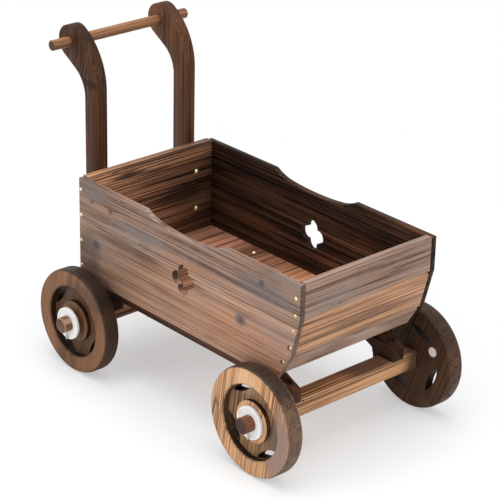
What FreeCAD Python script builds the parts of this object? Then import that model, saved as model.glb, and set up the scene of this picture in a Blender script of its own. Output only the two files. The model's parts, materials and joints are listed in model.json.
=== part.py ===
import FreeCAD, Part
import math
import os
import Sketcher

# A small wooden flower cart: an open box on four turned wooden wheels, with two bent
# handle posts bolted behind the box and a round handle bar through their heads.
#
# Everything is drawn in the cart's working frame: X runs from the back of the sides to the
# slanted front, Y to the cart's left, Z up from the ground, in millimetres, with X = 0 on
# the back ends of the sides and Y = 0 on the centre line. Each finished piece is moved by
# rear_x, which puts the origin on the ground under the middle of the whole cart.

# ---------------------------------------------------------------------------
# Driving dimensions: name, value, meaning
# ---------------------------------------------------------------------------
DIMENSIONS = (
    # planter box
    ("box_length", 520, "back of the box to its front face"),
    ("box_width", 280, "over both side panels"),
    ("box_top", 318, "height of the rim above the ground"),
    ("side_bottom", 147, "height of the side panels' lower edge"),
    ("side_thick", 10, "side boards"),
    ("side_seam", 247, "height of the joint between the two boards of a side"),
    ("seam_bevel", 1.6, "bevel on each board at that joint"),
    ("rear_thick", 14, "rear boards"),
    ("rear_back", 2, "the rear boards stand this much behind the sides"),
    ("rear_proud", 1.5, "the top rear board stands this much above the sides"),
    ("rear_seam", 283, "height of the joint between the rear boards"),
    ("front_thick", 12, "front boards"),
    ("front_upright", 262, "height where the front starts to slant back"),
    ("front_knee", 197, "height where it slants back more"),
    ("front_lip", 159, "height of the front's lower edge"),
    ("slant_middle", 14.6, "slant of the middle front board, degrees"),
    ("slant_lower", 31.8, "slant of the lowest front board, degrees"),
    ("front_proud", 1, "the top front board stands this much above the sides"),
    ("front_bevel", 4.5, "bevel on the upper edge of the slanted boards"),
    # dip in the top edge of each side
    ("dip_start", 166, "rear end of the dip"),
    ("dip_length", 186, "length of the dip along the rim"),
    ("dip_shoulder", 38, "length of the steep part at each end"),
    ("dip_fall", 12.5, "fall over that steep part"),
    ("dip_shoulder_radius", 85, "its hollow curve"),
    ("dip_sag", 3, "further fall to the middle of the dip"),
    # four-lobed window in each side
    ("window_z", 232, "centre of the window"),
    ("window_lobe", 12, "radius of a lobe"),
    ("window_reach", 14, "centre of a lobe from the window's centre"),
    ("window_heart", 7, "radius of the round middle"),
    # floor and its rails
    ("floor_top", 165, "height of the floor boards' upper face"),
    ("floor_thick", 10, "floor boards"),
    ("floor_joint", 1, "gap between neighbouring floor boards"),
    ("floor_first", 91, "width of the rear floor board"),
    ("floor_second", 100, "width of the second floor board"),
    ("floor_third", 29, "width of the narrow floor board"),
    ("floor_wide", 75, "width of the two floor boards after it"),
    ("rail_width", 26, "rail under the floor along each side"),
    ("rail_height", 26, "rail under the floor along each side"),
    # axle beams
    ("rear_axle_x", 34, "rear axle from the back of the box"),
    ("front_axle_inset", 54.6, "front axle from the front face of the box"),
    ("beam_size", 29, "square middle of an axle beam"),
    ("journal_radius", 13, "round ends of an axle beam"),
    ("front_axle_tail", 14.5, "front axle beyond the middle of its pins"),
    ("rear_axle_tail", 12, "rear axle beyond the middle of its pins"),
    ("journal_bevel", 1.5, "bevel on the axle ends"),
    ("pilot_radius", 2, "small blind hole in the front face of the front beam"),
    ("pilot_depth", 8, "depth of that hole"),
    ("pilot_offset", 89, "that hole from the centre line"),
    ("pilot_rise", 10.5, "that hole above the middle of the beam"),
    # arms between rails and beams
    ("arm_inset", 9, "outer face of an arm from the inner face of a side"),
    ("arm_width", 24, "thickness of an arm"),
    ("arm_overhang", 4.5, "an arm's end stands this much past the beam"),
    ("arm_nose", 21, "height of an arm's end above the beam"),
    ("arm_slope", 24, "slope of an arm's top, degrees"),
    ("arm_shoulder", 16.4, "end of the rail that an arm's shoulder meets, from the axle"),
    ("arm_tail", 67, "far end of an arm from the axle"),
    ("arm_heel", 10, "part of an arm that hooks behind the beam"),
    ("arm_hook", 8, "depth of that hook"),
    ("arm_heel_rise", 7.5, "underside of the arm above the beam at the hook"),
    # wheels
    ("wheel_radius", 87.5, "wheels"),
    ("wheel_thick", 28, "wheels"),
    ("wheel_gap", 15.5, "between a side and its wheels"),
    ("wheel_bevel", 2, "bevel of a wheel's edges"),
    ("recess_radius", 60, "round hollow in the outer face"),
    ("recess_depth", 12, "depth of that hollow"),
    ("boss_radius", 34, "raised ring round the hub"),
    ("boss_sink", 4.8, "the ring's face below the wheel's face"),
    ("slot_depth", 12.4, "widest part of a slot, measured along the radius"),
    ("slot_half_chord", 25.5, "half the length of a slot"),
    ("slot_margin", 0.6, "slot from the wall of the hollow"),
    ("slot_count", 4, "slots in a wheel"),
    ("front_right_turn", 31, "position of the slots, degrees"),
    ("front_left_turn", 65, "position of the slots, degrees"),
    ("rear_right_turn", 55, "position of the slots, degrees"),
    ("rear_left_turn", 12, "position of the slots, degrees"),
    ("hub_washer_radius", 26.5, "plastic washers on the hubs"),
    ("hub_washer_thick", 4.2, "plastic washers on the hubs"),
    ("front_washer_play", 1, "room between a front wheel's ring and its washer"),
    ("rear_washer_play", 10.5, "room between a rear wheel's ring and its washer"),
    ("washer_rim", 3, "raised rim of a hub washer"),
    ("washer_dish", 1.2, "depth of a washer's face behind its rim"),
    ("pin_radius", 1.3, "pin through the axle end"),
    ("pin_drop", 14.5, "pin below the axle end"),
    ("label_radius", 8, "blank round label on one wheel"),
    ("label_thick", 0.3, "blank round label"),
    ("label_offset", 54, "label from the hub"),
    ("label_angle", 28, "label round the hub, degrees"),
    # handle
    ("post_width", 23, "handle posts, across the cart"),
    ("post_depth", 28, "handle posts, along the cart"),
    ("post_inset", 38.5, "middle of a handle post from the inner face of a side"),
    ("post_bottom", 168, "lower end of the posts"),
    ("bend_front_drop", 69.5, "start of the front edge's curve below the bar"),
    ("bend_rear_drop", 83.5, "start of the rear edge's curve below the bar"),
    ("bend_radius", 50, "hollow curve of the rear edge"),
    ("head_radius", 27, "rounded head of a post"),
    ("bar_back", 68, "handle bar behind the front of the posts"),
    ("bar_height", 519.5, "handle bar above the ground"),
    ("bar_radius", 8.5, "handle bar"),
    ("bar_free_end", 34.5, "each end of the handle bar past its post"),
    ("bar_bevel", 1, "bevel of the bar's ends"),
    # fasteners
    ("screw_radius", 1.5, "wood screws in the corners"),
    ("screw_length", 28, "wood screws in the corners"),
    ("screw_head_radius", 3.3, "their round heads"),
    ("screw_head_height", 1.5, "their round heads"),
    ("screw_sink", 2.4, "depth of the sunk heads low on the front corners"),
    ("front_screw_inset", 9, "two upper screws from the front of the box"),
    ("front_screw_top", 295, "height of the first screw at the front corner"),
    ("front_screw_second", 267, "height of the second one"),
    ("front_screw_third", 241, "height of the third one"),
    ("front_screw_fourth", 211, "height of the fourth one, sunk"),
    ("front_screw_fifth", 182, "height of the fifth one, sunk"),
    ("rear_screw_inset", 4.5, "screws from the back of the box"),
    ("rear_screw_top", 299, "height of the upper rear screw"),
    ("rear_screw_step", 44, "spacing of the rear screws"),
    ("rear_screw_count", 4, "rear screws on each side"),
    ("post_bolt_radius", 3, "bolts through posts and rear boards"),
    ("post_bolt_head_radius", 4.8, "their round heads"),
    ("post_bolt_head_height", 2.6, "their round heads"),
    ("post_bolt_shift", 5.5, "bolts outwards from the middle of a post"),
    ("post_bolt_high", 271, "height of the upper bolt"),
    ("post_bolt_low", 204, "height of the lower bolt"),
    ("post_bolt_tail", 2, "bolt past its nut"),
    ("post_washer_radius", 5.8, "washers behind the posts"),
    ("post_washer_thick", 1.5, "washers behind the posts"),
    ("post_nut_flats", 9, "nuts, across the flats"),
    ("post_nut_height", 4.5, "nuts behind the posts"),
    ("floor_bolt_radius", 2.5, "bolts through floor and rails"),
    ("floor_bolt_head_radius", 4.4, "their round heads"),
    ("floor_bolt_head_height", 2.2, "their round heads"),
    ("floor_bolt_second", 39, "rear floor bolts from the edge of the second board"),
    ("floor_bolt_fifth", 41, "front floor bolts from the edge of the fifth board"),
    ("floor_bolt_inset", 18, "floor bolts from the inner face of a side"),
    ("floor_bolt_tail", 9, "bolt past its nut"),
    ("floor_nut_flats", 8, "nuts, across the flats"),
    ("floor_nut_height", 4, "nuts under the rails"),
    ("arm_screw_radius", 2.5, "screws from an arm into the beam"),
    ("arm_screw_length", 32, "screws from an arm into the beam"),
    ("arm_screw_head_radius", 6, "their flat heads"),
    ("arm_screw_head_height", 3, "their flat heads"),
    ("arm_screw_seat", 21, "under the head, above the beam"),
    ("rail_screw_offset", 44, "screws from an arm into its rail, from the axle"),
    ("rail_screw_seat", 5, "under the head, below the rail"),
    ("rail_screw_length", 28, "screws from an arm into its rail"),
    ("rail_screw_radius", 2.4, "screws from an arm into its rail"),
    ("rail_screw_head_radius", 5.5, "their flat heads"),
    ("rail_screw_head_height", 2.5, "their flat heads"),
    # fits
    ("hole_clearance", 0.05, "round a screw, a bolt or the bar in its hole"),
    ("bore_clearance", 0.08, "wheel bore round its journal"),
    ("face_clearance", 0.3, "between a wheel and what it turns against"),
    ("sink_clearance", 1.2, "round a sunk head"),
)

# ---------------------------------------------------------------------------
# Places worked out from them by the sheet itself
# ---------------------------------------------------------------------------
DERIVED = (
    ("datum", "0 * box_length"),
    ("box_half", "box_width / 2"),
    ("window_x", "box_length / 2"),
    # overall: the head of the posts is the rearmost point, the front wheels the foremost
    ("front_axle_x", "box_length - front_axle_inset"),
    ("back_reach", "rear_back + bar_back + head_radius"),
    ("front_reach", "front_axle_x + wheel_radius"),
    ("rear_x", "(back_reach - front_reach) / 2"),
    # slanted front
    ("run_middle", "tan(slant_middle)"),
    ("run_lower", "tan(slant_lower)"),
    ("seam_x", "box_length - run_middle * (front_upright - side_seam)"),
    ("knee_x", "box_length - run_middle * (front_upright - front_knee)"),
    ("toe_x", "knee_x - run_lower * (front_knee - side_bottom)"),
    ("lip_x", "knee_x - run_lower * (front_knee - front_lip)"),
    # top front board
    ("front_inner_x", "box_length - front_thick"),
    ("front_top", "box_top + front_proud"),
    # middle front board: its upper end drops until its back corner meets the top board
    ("middle_drop", "front_thick * tan(slant_middle)"),
    ("middle_top_x", "box_length - middle_drop * sin(slant_middle)"),
    ("middle_top_z", "front_upright - middle_drop * cos(slant_middle)"),
    ("middle_in_x", "front_thick * cos(slant_middle)"),
    ("middle_in_z", "front_thick * sin(slant_middle)"),
    ("middle_cut_x", "front_bevel * cos(slant_middle)"),
    ("middle_cut_z", "front_bevel * sin(slant_middle)"),
    ("middle_bevel_x", "middle_top_x - front_bevel * sin(slant_middle)"),
    ("middle_bevel_z", "middle_top_z - front_bevel * cos(slant_middle)"),
    ("middle_shelf_x", "middle_top_x - middle_cut_x"),
    ("middle_shelf_z", "middle_top_z + middle_cut_z"),
    ("middle_back_top_x", "middle_top_x - middle_in_x"),
    ("middle_back_top_z", "middle_top_z + middle_in_z"),
    ("middle_back_low_x", "knee_x - middle_in_x"),
    ("middle_back_low_z", "front_knee + middle_in_z"),
    # lowest front board: its upper end drops until its back corner meets the middle board
    ("lower_drop", "front_thick * tan(slant_lower - slant_middle)"),
    ("lower_top_x", "knee_x - lower_drop * sin(slant_lower)"),
    ("lower_top_z", "front_knee - lower_drop * cos(slant_lower)"),
    ("lower_in_x", "front_thick * cos(slant_lower)"),
    ("lower_in_z", "front_thick * sin(slant_lower)"),
    ("lower_bevel_x", "lower_top_x - front_bevel * sin(slant_lower)"),
    ("lower_bevel_z", "lower_top_z - front_bevel * cos(slant_lower)"),
    ("lower_shelf_x", "lower_top_x - front_bevel * cos(slant_lower)"),
    ("lower_shelf_z", "lower_top_z + front_bevel * sin(slant_lower)"),
    ("lower_back_top_x", "lower_top_x - lower_in_x"),
    ("lower_back_top_z", "lower_top_z + lower_in_z"),
    ("lower_back_low_x", "lip_x - lower_in_x"),
    ("lower_back_low_z", "front_lip + lower_in_z"),
    # dip
    ("dip_end", "dip_start + dip_length"),
    ("dip_low_start", "dip_start + dip_shoulder"),
    ("dip_low_end", "dip_end - dip_shoulder"),
    ("dip_edge_z", "box_top - dip_fall"),
    ("dip_half_low", "dip_length / 2 - dip_shoulder"),
    ("dip_low_radius", "(dip_half_low ^ 2 + dip_sag ^ 2) / (2 * dip_sag)"),
    # box width
    ("inside_width", "box_width - 2 * side_thick"),
    ("inside_half", "inside_width / 2"),
    ("side_centre", "(box_width - side_thick) / 2"),
    ("half_side", "side_thick / 2"),
    ("half_side_cut", "half_side - seam_bevel"),
    ("seam_above", "side_seam + seam_bevel"),
    ("seam_below", "side_seam - seam_bevel"),
    ("upper_rear_height", "box_top + rear_proud - rear_seam"),
    ("lower_rear_height", "rear_seam - side_bottom"),
    # floor
    ("floor_bottom", "floor_top - floor_thick"),
    ("floor_end", "lip_x - run_lower * (front_lip - floor_bottom) - front_thick / cos(slant_lower)"),
    ("floor_start", "rear_thick - rear_back"),
    ("floor_x1", "floor_start + floor_first + floor_joint"),
    ("floor_x2", "floor_x1 + floor_second + floor_joint"),
    ("floor_x3", "floor_x2 + floor_third + floor_joint"),
    ("floor_x4", "floor_x3 + floor_wide + floor_joint"),
    ("floor_x5", "floor_x4 + floor_wide + floor_joint"),
    ("floor_last", "floor_end - floor_x5"),
    ("rail_start", "rear_axle_x + arm_shoulder"),
    ("rail_end", "front_axle_x - arm_shoulder"),
    ("rail_length", "rail_end - rail_start"),
    ("rail_bottom", "floor_bottom - rail_height"),
    ("rail_centre", "inside_half - rail_width / 2"),
    # axle beams
    ("half_beam", "beam_size / 2"),
    ("beam_top", "wheel_radius + half_beam"),
    ("wheel_inner", "box_half + wheel_gap"),
    ("wheel_outer", "wheel_inner + wheel_thick"),
    ("beam_half_length", "wheel_inner - face_clearance"),
    ("pilot_height", "wheel_radius + pilot_rise"),
    ("journal_face_radius", "journal_radius - journal_bevel"),
    # arms, drawn with x = 0 on the axle and the end of the arm at -x
    ("arm_centre", "inside_half - arm_inset - arm_width / 2"),
    ("arm_end_x", "-half_beam - arm_overhang"),
    ("arm_heel_x", "half_beam + arm_heel"),
    ("arm_nose_z", "beam_top + arm_nose"),
    ("arm_shoulder_z", "arm_nose_z + (arm_shoulder - arm_end_x) * tan(arm_slope)"),
    ("arm_hook_z", "beam_top - arm_hook"),
    ("arm_under_z", "beam_top + arm_heel_rise"),
    ("arm_screw_seat_z", "beam_top + arm_screw_seat"),
    ("rail_screw_seat_z", "rail_bottom - rail_screw_seat"),
    ("rear_rail_screw_x", "rear_axle_x + rail_screw_offset"),
    ("front_rail_screw_x", "front_axle_x - rail_screw_offset"),
    ("arm_bore_depth", "arm_nose + arm_tail"),
    # wheels, drawn with y = 0 on the outer face and y up to wheel_thick on the inner one
    ("bore_radius", "journal_radius + bore_clearance"),
    ("tread_shoulder", "wheel_radius - wheel_bevel"),
    ("recess_shoulder", "recess_radius + wheel_bevel"),
    ("inner_shoulder", "wheel_thick - wheel_bevel"),
    ("slot_outer", "recess_radius - slot_margin"),
    ("slot_edge_x", "sqrt(slot_outer ^ 2 - slot_half_chord ^ 2)"),
    ("slot_edge_low", "-slot_half_chord"),
    ("slot_inner", "slot_outer - slot_depth"),
    ("slot_inner_centre", "(slot_outer ^ 2 - slot_inner ^ 2) / (2 * (slot_edge_x - slot_inner))"),
    ("slot_inner_radius", "slot_inner_centre - slot_inner"),
    ("boss_face", "wheel_outer - boss_sink"),
    ("front_washer_inner", "boss_face + front_washer_play"),
    ("rear_washer_inner", "boss_face + rear_washer_play"),
    ("front_pin_y", "front_washer_inner + hub_washer_thick + face_clearance + pin_radius"),
    ("rear_pin_y", "rear_washer_inner + hub_washer_thick + face_clearance + pin_radius"),
    ("front_axle_reach", "front_pin_y + front_axle_tail"),
    ("rear_axle_reach", "rear_pin_y + rear_axle_tail"),
    ("front_journal_neck", "front_axle_reach - journal_bevel"),
    ("rear_journal_neck", "rear_axle_reach - journal_bevel"),
    ("washer_step", "hub_washer_radius - washer_rim"),
    ("washer_dish_face", "hub_washer_thick - washer_dish"),
    ("pin_bottom", "wheel_radius - journal_radius - pin_drop"),
    ("pin_length", "2 * journal_radius + pin_drop"),
    # handle posts, drawn with x = 0 on their front face
    ("post_centre", "inside_half - post_inset"),
    ("post_back", "-post_depth"),
    ("bend_front", "bar_height - bend_front_drop"),
    ("bend_rear", "bar_height - bend_rear_drop"),
    ("head_x", "-bar_back"),
    ("head_back_x", "-bar_back - head_radius"),
    ("head_rise", "bar_height - bend_front"),
    ("front_bend_radius",
     "(bar_back ^ 2 + head_rise ^ 2 - head_radius ^ 2) / (2 * (bar_back - head_radius))"),
    ("head_lean_x", "(front_bend_radius - bar_back) / (front_bend_radius - head_radius)"),
    ("head_lean_z", "head_rise / (front_bend_radius - head_radius)"),
    ("crown_x", "head_x + head_radius * head_lean_x"),
    ("crown_z", "bar_height + head_radius * head_lean_z"),
    # the straight throat under the head touches the head and the hollow curve
    ("throat_dx", "post_depth + bend_radius - bar_back"),
    ("throat_dz", "bar_height - bend_rear"),
    ("throat_square", "throat_dx ^ 2 + throat_dz ^ 2"),
    ("throat_sum", "bend_radius + head_radius"),
    ("throat_root", "sqrt(throat_square - throat_sum ^ 2)"),
    ("throat_nx", "(throat_sum * throat_dx + throat_root * throat_dz) / throat_square"),
    ("throat_nz", "(throat_sum * throat_dz - throat_root * throat_dx) / throat_square"),
    ("throat_top_x", "head_x - head_radius * throat_nx"),
    ("throat_top_z", "bar_height - head_radius * throat_nz"),
    ("throat_low_x", "bend_radius * throat_nx - post_depth - bend_radius"),
    ("throat_low_z", "bend_rear + bend_radius * throat_nz"),
    ("bar_hole", "bar_radius + hole_clearance"),
    ("bar_reach", "post_centre + post_width / 2 + bar_free_end"),
    ("bar_neck", "bar_reach - bar_bevel"),
    ("bar_face_radius", "bar_radius - bar_bevel"),
    # rows of screws
    ("front_screw_upper_x", "box_length - front_screw_inset"),
    ("middle_mid", "front_thick / 2 / cos(slant_middle)"),
    ("front_screw_third_x",
     "box_length - run_middle * (front_upright - front_screw_third) - middle_mid"),
    ("front_screw_fourth_x",
     "box_length - run_middle * (front_upright - front_screw_fourth) - middle_mid"),
    ("front_screw_fifth_x",
     "knee_x - run_lower * (front_knee - front_screw_fifth) - front_thick / 2 / cos(slant_lower)"),
    ("post_bolt_offset", "post_centre + post_bolt_shift"),
    ("floor_bolt_offset", "inside_half - floor_bolt_inset"),
    ("floor_bolt_rear", "floor_x1 + floor_bolt_second"),
    ("floor_bolt_front", "floor_x4 + floor_bolt_fifth"),
    ("post_bolt_length",
     "rear_thick + post_depth + post_washer_thick + post_nut_height + post_bolt_tail"),
    ("floor_bolt_length", "floor_thick + rail_height + floor_nut_height + floor_bolt_tail"),
    ("post_bolt_ball", "(post_bolt_head_radius ^ 2 / post_bolt_head_height + post_bolt_head_height) / 2"),
    ("floor_bolt_ball",
     "(floor_bolt_head_radius ^ 2 / floor_bolt_head_height + floor_bolt_head_height) / 2"),
    ("screw_ball", "(screw_head_radius ^ 2 / screw_head_height + screw_head_height) / 2"),
    # the same sizes measured the other way along an axis
    ("half_side_outer", "-half_side"),
    ("half_side_cut_outer", "-half_side_cut"),
    ("bar_reach_low", "-bar_reach"),
    ("bar_neck_low", "-bar_neck"),
    ("front_reach_low", "-front_axle_reach"),
    ("front_neck_low", "-front_journal_neck"),
    ("rear_reach_low", "-rear_axle_reach"),
    ("rear_neck_low", "-rear_journal_neck"),
)

SIDES = (("right", -1), ("left", 1))

doc = FreeCAD.newDocument("flower_cart")
sheet = doc.addObject("Spreadsheet::Sheet", "Dims")
PIECES = []


def fill_sheet():
    """Write every driving dimension and every derived place into the sheet."""
    row = 1
    for name, value, meaning in DIMENSIONS:
        sheet.set("A%d" % row, name)
        sheet.set("B%d" % row, str(value))
        sheet.set("C%d" % row, meaning)
        sheet.setAlias("B%d" % row, name)
        row += 1
    for name, formula in DERIVED:
        sheet.set("A%d" % row, name)
        sheet.set("B%d" % row, "=" + formula)
        sheet.setAlias("B%d" % row, name)
        row += 1
    doc.recompute()


def size(name):
    """The present value of a named size."""
    return float(sheet.get(name))


def bind(obj, prop, formula):
    """Tie a property of an object to the sheet; formula uses the sheet's names as Dims.name."""
    obj.setExpression(prop, formula)


def place(obj, x=None, y=None, z=None):
    """Tie the parts of an object's position that are given to the sheet."""
    for axis, formula in (("x", x), ("y", y), ("z", z)):
        if formula is not None:
            bind(obj, ".Placement.Base." + axis, formula)


def turn(obj, axis, degrees):
    """Turn an object about an axis through its own origin."""
    obj.Placement = FreeCAD.Placement(FreeCAD.Vector(0, 0, 0), FreeCAD.Rotation(axis, degrees))


def keep(obj, label, x="0"):
    """Name a finished piece and put it into the part's frame; x is its place along the cart."""
    obj.Label = label
    bind(obj, ".Placement.Base.x", "Dims.rear_x + " + x)
    PIECES.append(obj)


AXIS_X = FreeCAD.Vector(1, 0, 0)
AXIS_Y = FreeCAD.Vector(0, 1, 0)
AXIS_Z = FreeCAD.Vector(0, 0, 1)


# ---------------------------------------------------------------------------
# Sketches
# ---------------------------------------------------------------------------
def plane_of(body, role):
    """One of a body's own origin planes."""
    for feature in body.Origin.OriginFeatures:
        if feature.Role == role:
            return feature


def new_sketch(body, role, name):
    """An empty sketch on one of the body's own planes."""
    sketch = body.newObject("Sketcher::SketchObject", name)
    sketch.AttachmentSupport = (plane_of(body, role), [""])
    sketch.MapMode = "FlatFace"
    return sketch


def arc_between(start, end, radius, centre_left):
    """An arc of under half a turn from start to end, with its centre on the given hand."""
    chord = end - start
    middle = (start + end) / 2
    rise = math.sqrt(max(radius ** 2 - (chord.Length / 2) ** 2, 0.0))
    hand = FreeCAD.Vector(-chord.y, chord.x, 0)
    hand.normalize()
    centre = middle + hand * (rise if centre_left else -rise)
    first, last = (start, end) if centre_left else (end, start)
    angles = [math.atan2(p.y - centre.y, p.x - centre.x) for p in (first, last)]
    if angles[1] < angles[0]:
        angles[1] += 2 * math.pi
    return Part.ArcOfCircle(Part.Circle(centre, AXIS_Z, radius), angles[0], angles[1])


def outline(body, role, name, corners):
    """A closed sketch whose corners and radii are tied to the sheet.

    corners lists (across, up) or (across, up, radius, hand): the names of a corner's two
    sizes and, for an arc to the next corner, of its radius and the hand of its centre.
    """
    sketch = new_sketch(body, role, name)
    points = [FreeCAD.Vector(size(corner[0]), size(corner[1]), 0) for corner in corners]
    ends = []
    for index, corner in enumerate(corners):
        start = points[index]
        end = points[(index + 1) % len(points)]
        if len(corner) == 2:
            curve = sketch.addGeometry(Part.LineSegment(start, end), False)
            ends.append((curve, 1, 2))
        else:
            left = corner[3] == "left"
            arc = arc_between(start, end, size(corner[2]), left)
            curve = sketch.addGeometry(arc, False)
            ends.append((curve, 1, 2) if left else (curve, 2, 1))
    for index, (curve, first, last) in enumerate(ends):
        following = ends[(index + 1) % len(ends)]
        sketch.addConstraint(Sketcher.Constraint("Coincident", curve, last, following[0], following[1]))
    for index, corner in enumerate(corners):
        curve, first = ends[index][0], ends[index][1]
        across = sketch.addConstraint(
            Sketcher.Constraint("DistanceX", -1, 1, curve, first, points[index].x))
        bind(sketch, "Constraints[%d]" % across, "Dims." + corner[0])
        up = sketch.addConstraint(
            Sketcher.Constraint("DistanceY", -1, 1, curve, first, points[index].y))
        bind(sketch, "Constraints[%d]" % up, "Dims." + corner[1])
        if len(corner) > 2:
            radius = sketch.addConstraint(Sketcher.Constraint("Radius", curve, size(corner[2])))
            bind(sketch, "Constraints[%d]" % radius, "Dims." + corner[2])
    return sketch


def circle_sketch(body, role, name, across, up, radius):
    """A sketch of one circle tied to the sheet."""
    sketch = new_sketch(body, role, name)
    centre = FreeCAD.Vector(size(across), size(up), 0)
    curve = sketch.addGeometry(Part.Circle(centre, AXIS_Z, size(radius)), False)
    for kind, value, tied in (("DistanceX", centre.x, across), ("DistanceY", centre.y, up)):
        index = sketch.addConstraint(Sketcher.Constraint(kind, -1, 1, curve, 3, value))
        bind(sketch, "Constraints[%d]" % index, "Dims." + tied)
    index = sketch.addConstraint(Sketcher.Constraint("Radius", curve, size(radius)))
    bind(sketch, "Constraints[%d]" % index, "Dims." + radius)
    return sketch


def pad(body, sketch, name, length):
    """Thicken a sketch equally to both sides."""
    feature = body.newObject("PartDesign::Pad", name)
    feature.Profile = sketch
    feature.SideType = "Symmetric"
    bind(feature, "Length", length)
    return feature


def pocket_through(body, sketch, name, length):
    """Cut a sketch through the body to both sides."""
    feature = body.newObject("PartDesign::Pocket", name)
    feature.Profile = sketch
    feature.SideType = "Symmetric"
    bind(feature, "Length", length)
    return feature


def profile_body(name, role, corners, length):
    """A body made of one outline thickened to both sides of its plane."""
    body = doc.addObject("PartDesign::Body", name)
    sketch = outline(body, role, name + "_outline", corners)
    pad(body, sketch, name + "_pad", length)
    return body


def turned_body(name, corners):
    """A body turned about its own Y axis from a half section of (radius, along) corners."""
    body = doc.addObject("PartDesign::Body", name)
    sketch = outline(body, "XY_Plane", name + "_section", corners)
    turned = body.newObject("PartDesign::Revolution", name + "_turned")
    turned.Profile = sketch
    turned.ReferenceAxis = (sketch, ["V_Axis"])
    turned.Angle = 360
    return body


def box(name, length, width, height, x, y, z):
    """A plain board; every size and its low corner are tied to the sheet."""
    board = doc.addObject("Part::Box", name)
    bind(board, "Length", length)
    bind(board, "Width", width)
    bind(board, "Height", height)
    place(board, x, y, z)
    return board


def cut(name, base, tool):
    """What is left of base when tool is taken away."""
    feature = doc.addObject("Part::Cut", name)
    feature.Base = base
    feature.Tool = tool
    return feature


# ---------------------------------------------------------------------------
# Fasteners: groups of separate solids, and the holes that take them
# ---------------------------------------------------------------------------
def cylinder(name, radius, height, z="0"):
    """A round rod along +Z; its sizes and the height of its foot are tied to the sheet."""
    rod = doc.addObject("Part::Cylinder", name)
    bind(rod, "Radius", radius)
    bind(rod, "Height", height)
    place(rod, z=z)
    return rod


def aim(obj, spot, direction):
    """Move an object to spot, three formulas, with its +Z turned to direction."""
    obj.Placement = FreeCAD.Placement(FreeCAD.Vector(0, 0, 0), FreeCAD.Rotation(AXIS_Z, direction))
    place(obj, *spot)
    return obj


def fuse(name, base, tool):
    """Two solids made one."""
    feature = doc.addObject("Part::Fuse", name)
    feature.Base = base
    feature.Tool = tool
    return feature


def together(name, solids):
    """Several separate solids as one object."""
    feature = doc.addObject("Part::Compound", name)
    feature.Links = solids
    return feature


def fastener(name, kind, domed):
    """A screw or bolt along +Z with the underside of its head at z = 0.

    kind is the first part of the names of its sizes.
    """
    shank = cylinder(name + "_shank", "Dims.%s_radius" % kind, "Dims.%s_length" % kind,
                     "-Dims.%s_length" % kind)
    if domed:
        head = doc.addObject("Part::Sphere", name + "_head")
        flat = "Dims.%s_ball - Dims.%s_head_height" % (kind, kind)
        bind(head, "Radius", "Dims.%s_ball" % kind)
        bind(head, "Angle1", "asin((%s) / Dims.%s_ball)" % (flat, kind))
        place(head, z="-(%s)" % flat)
    else:
        head = cylinder(name + "_head", "Dims.%s_head_radius" % kind, "Dims.%s_head_height" % kind)
    return fuse(name, shank, head)


def drilling(name, kind, spot, direction, sink=None):
    """The hole for a fastener's shank and, if its head is sunk, the wider bore above it."""
    depth = "(Dims.%s_length + Dims.hole_clearance)" % kind
    shank = cylinder(name + "_shank_hole", "Dims.%s_radius + Dims.hole_clearance" % kind, depth,
                     "-" + depth)
    if sink is None:
        return aim(together(name + "_plain_hole", [shank]), spot, direction)
    bore = cylinder(name + "_bore", "Dims.%s_head_radius + Dims.sink_clearance" % kind, sink)
    return aim(fuse(name + "_stepped_hole", shank, bore), spot, direction)


def along_y(sign, offset):
    """A formula for a place at offset from the centre line on one side."""
    return "%d * (%s)" % (sign, offset)


def nut(name, kind, spot, direction):
    """A plain hexagon nut with its seat at spot."""
    prism = doc.addObject("Part::Prism", name + "_prism")
    prism.Polygon = 6
    bind(prism, "Circumradius", "Dims.%s_nut_flats / sqrt(3)" % kind)
    bind(prism, "Height", "Dims.%s_nut_height" % kind)
    bore = cylinder(name + "_bore", "Dims.%s_bolt_radius + Dims.hole_clearance" % kind,
                    "Dims.%s_nut_height" % kind)
    return aim(cut(name, prism, bore), spot, direction)


def corner_screws():
    """Screws through the sides into the ends of the front and rear boards, and their holes."""
    row = [("front_screw_upper_x", "front_screw_top", False),
           ("front_screw_upper_x", "front_screw_second", False),
           ("front_screw_third_x", "front_screw_third", False),
           ("front_screw_fourth_x", "front_screw_fourth", True),
           ("front_screw_fifth_x", "front_screw_fifth", True)]
    screws = {"front": [], "rear": []}
    holes = []
    for side, sign in SIDES:
        spots = []
        for across, up, sunk in row:
            face = "Dims.box_half - Dims.screw_sink" if sunk else "Dims.box_half"
            sink = "2 * Dims.screw_sink" if sunk else None
            spots.append(("front", ("Dims." + across, along_y(sign, face), "Dims." + up), sink))
        for index in range(int(size("rear_screw_count"))):
            up = "Dims.rear_screw_top - %d * Dims.rear_screw_step" % index
            spots.append(("rear", ("Dims.rear_screw_inset", along_y(sign, "Dims.box_half"), up), None))
        for index, (end, spot, sink) in enumerate(spots):
            name = "%s_%s_screw_%d" % (side, end, index)
            screws[end].append(aim(fastener(name, "screw", True), spot, AXIS_Y * sign))
            holes.append(drilling(name, "screw", spot, AXIS_Y * sign, sink))
    for end in screws:
        keep(together(end + "_screws_group", screws[end]), end + "_screws")
    return together("corner_holes", holes)


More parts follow.
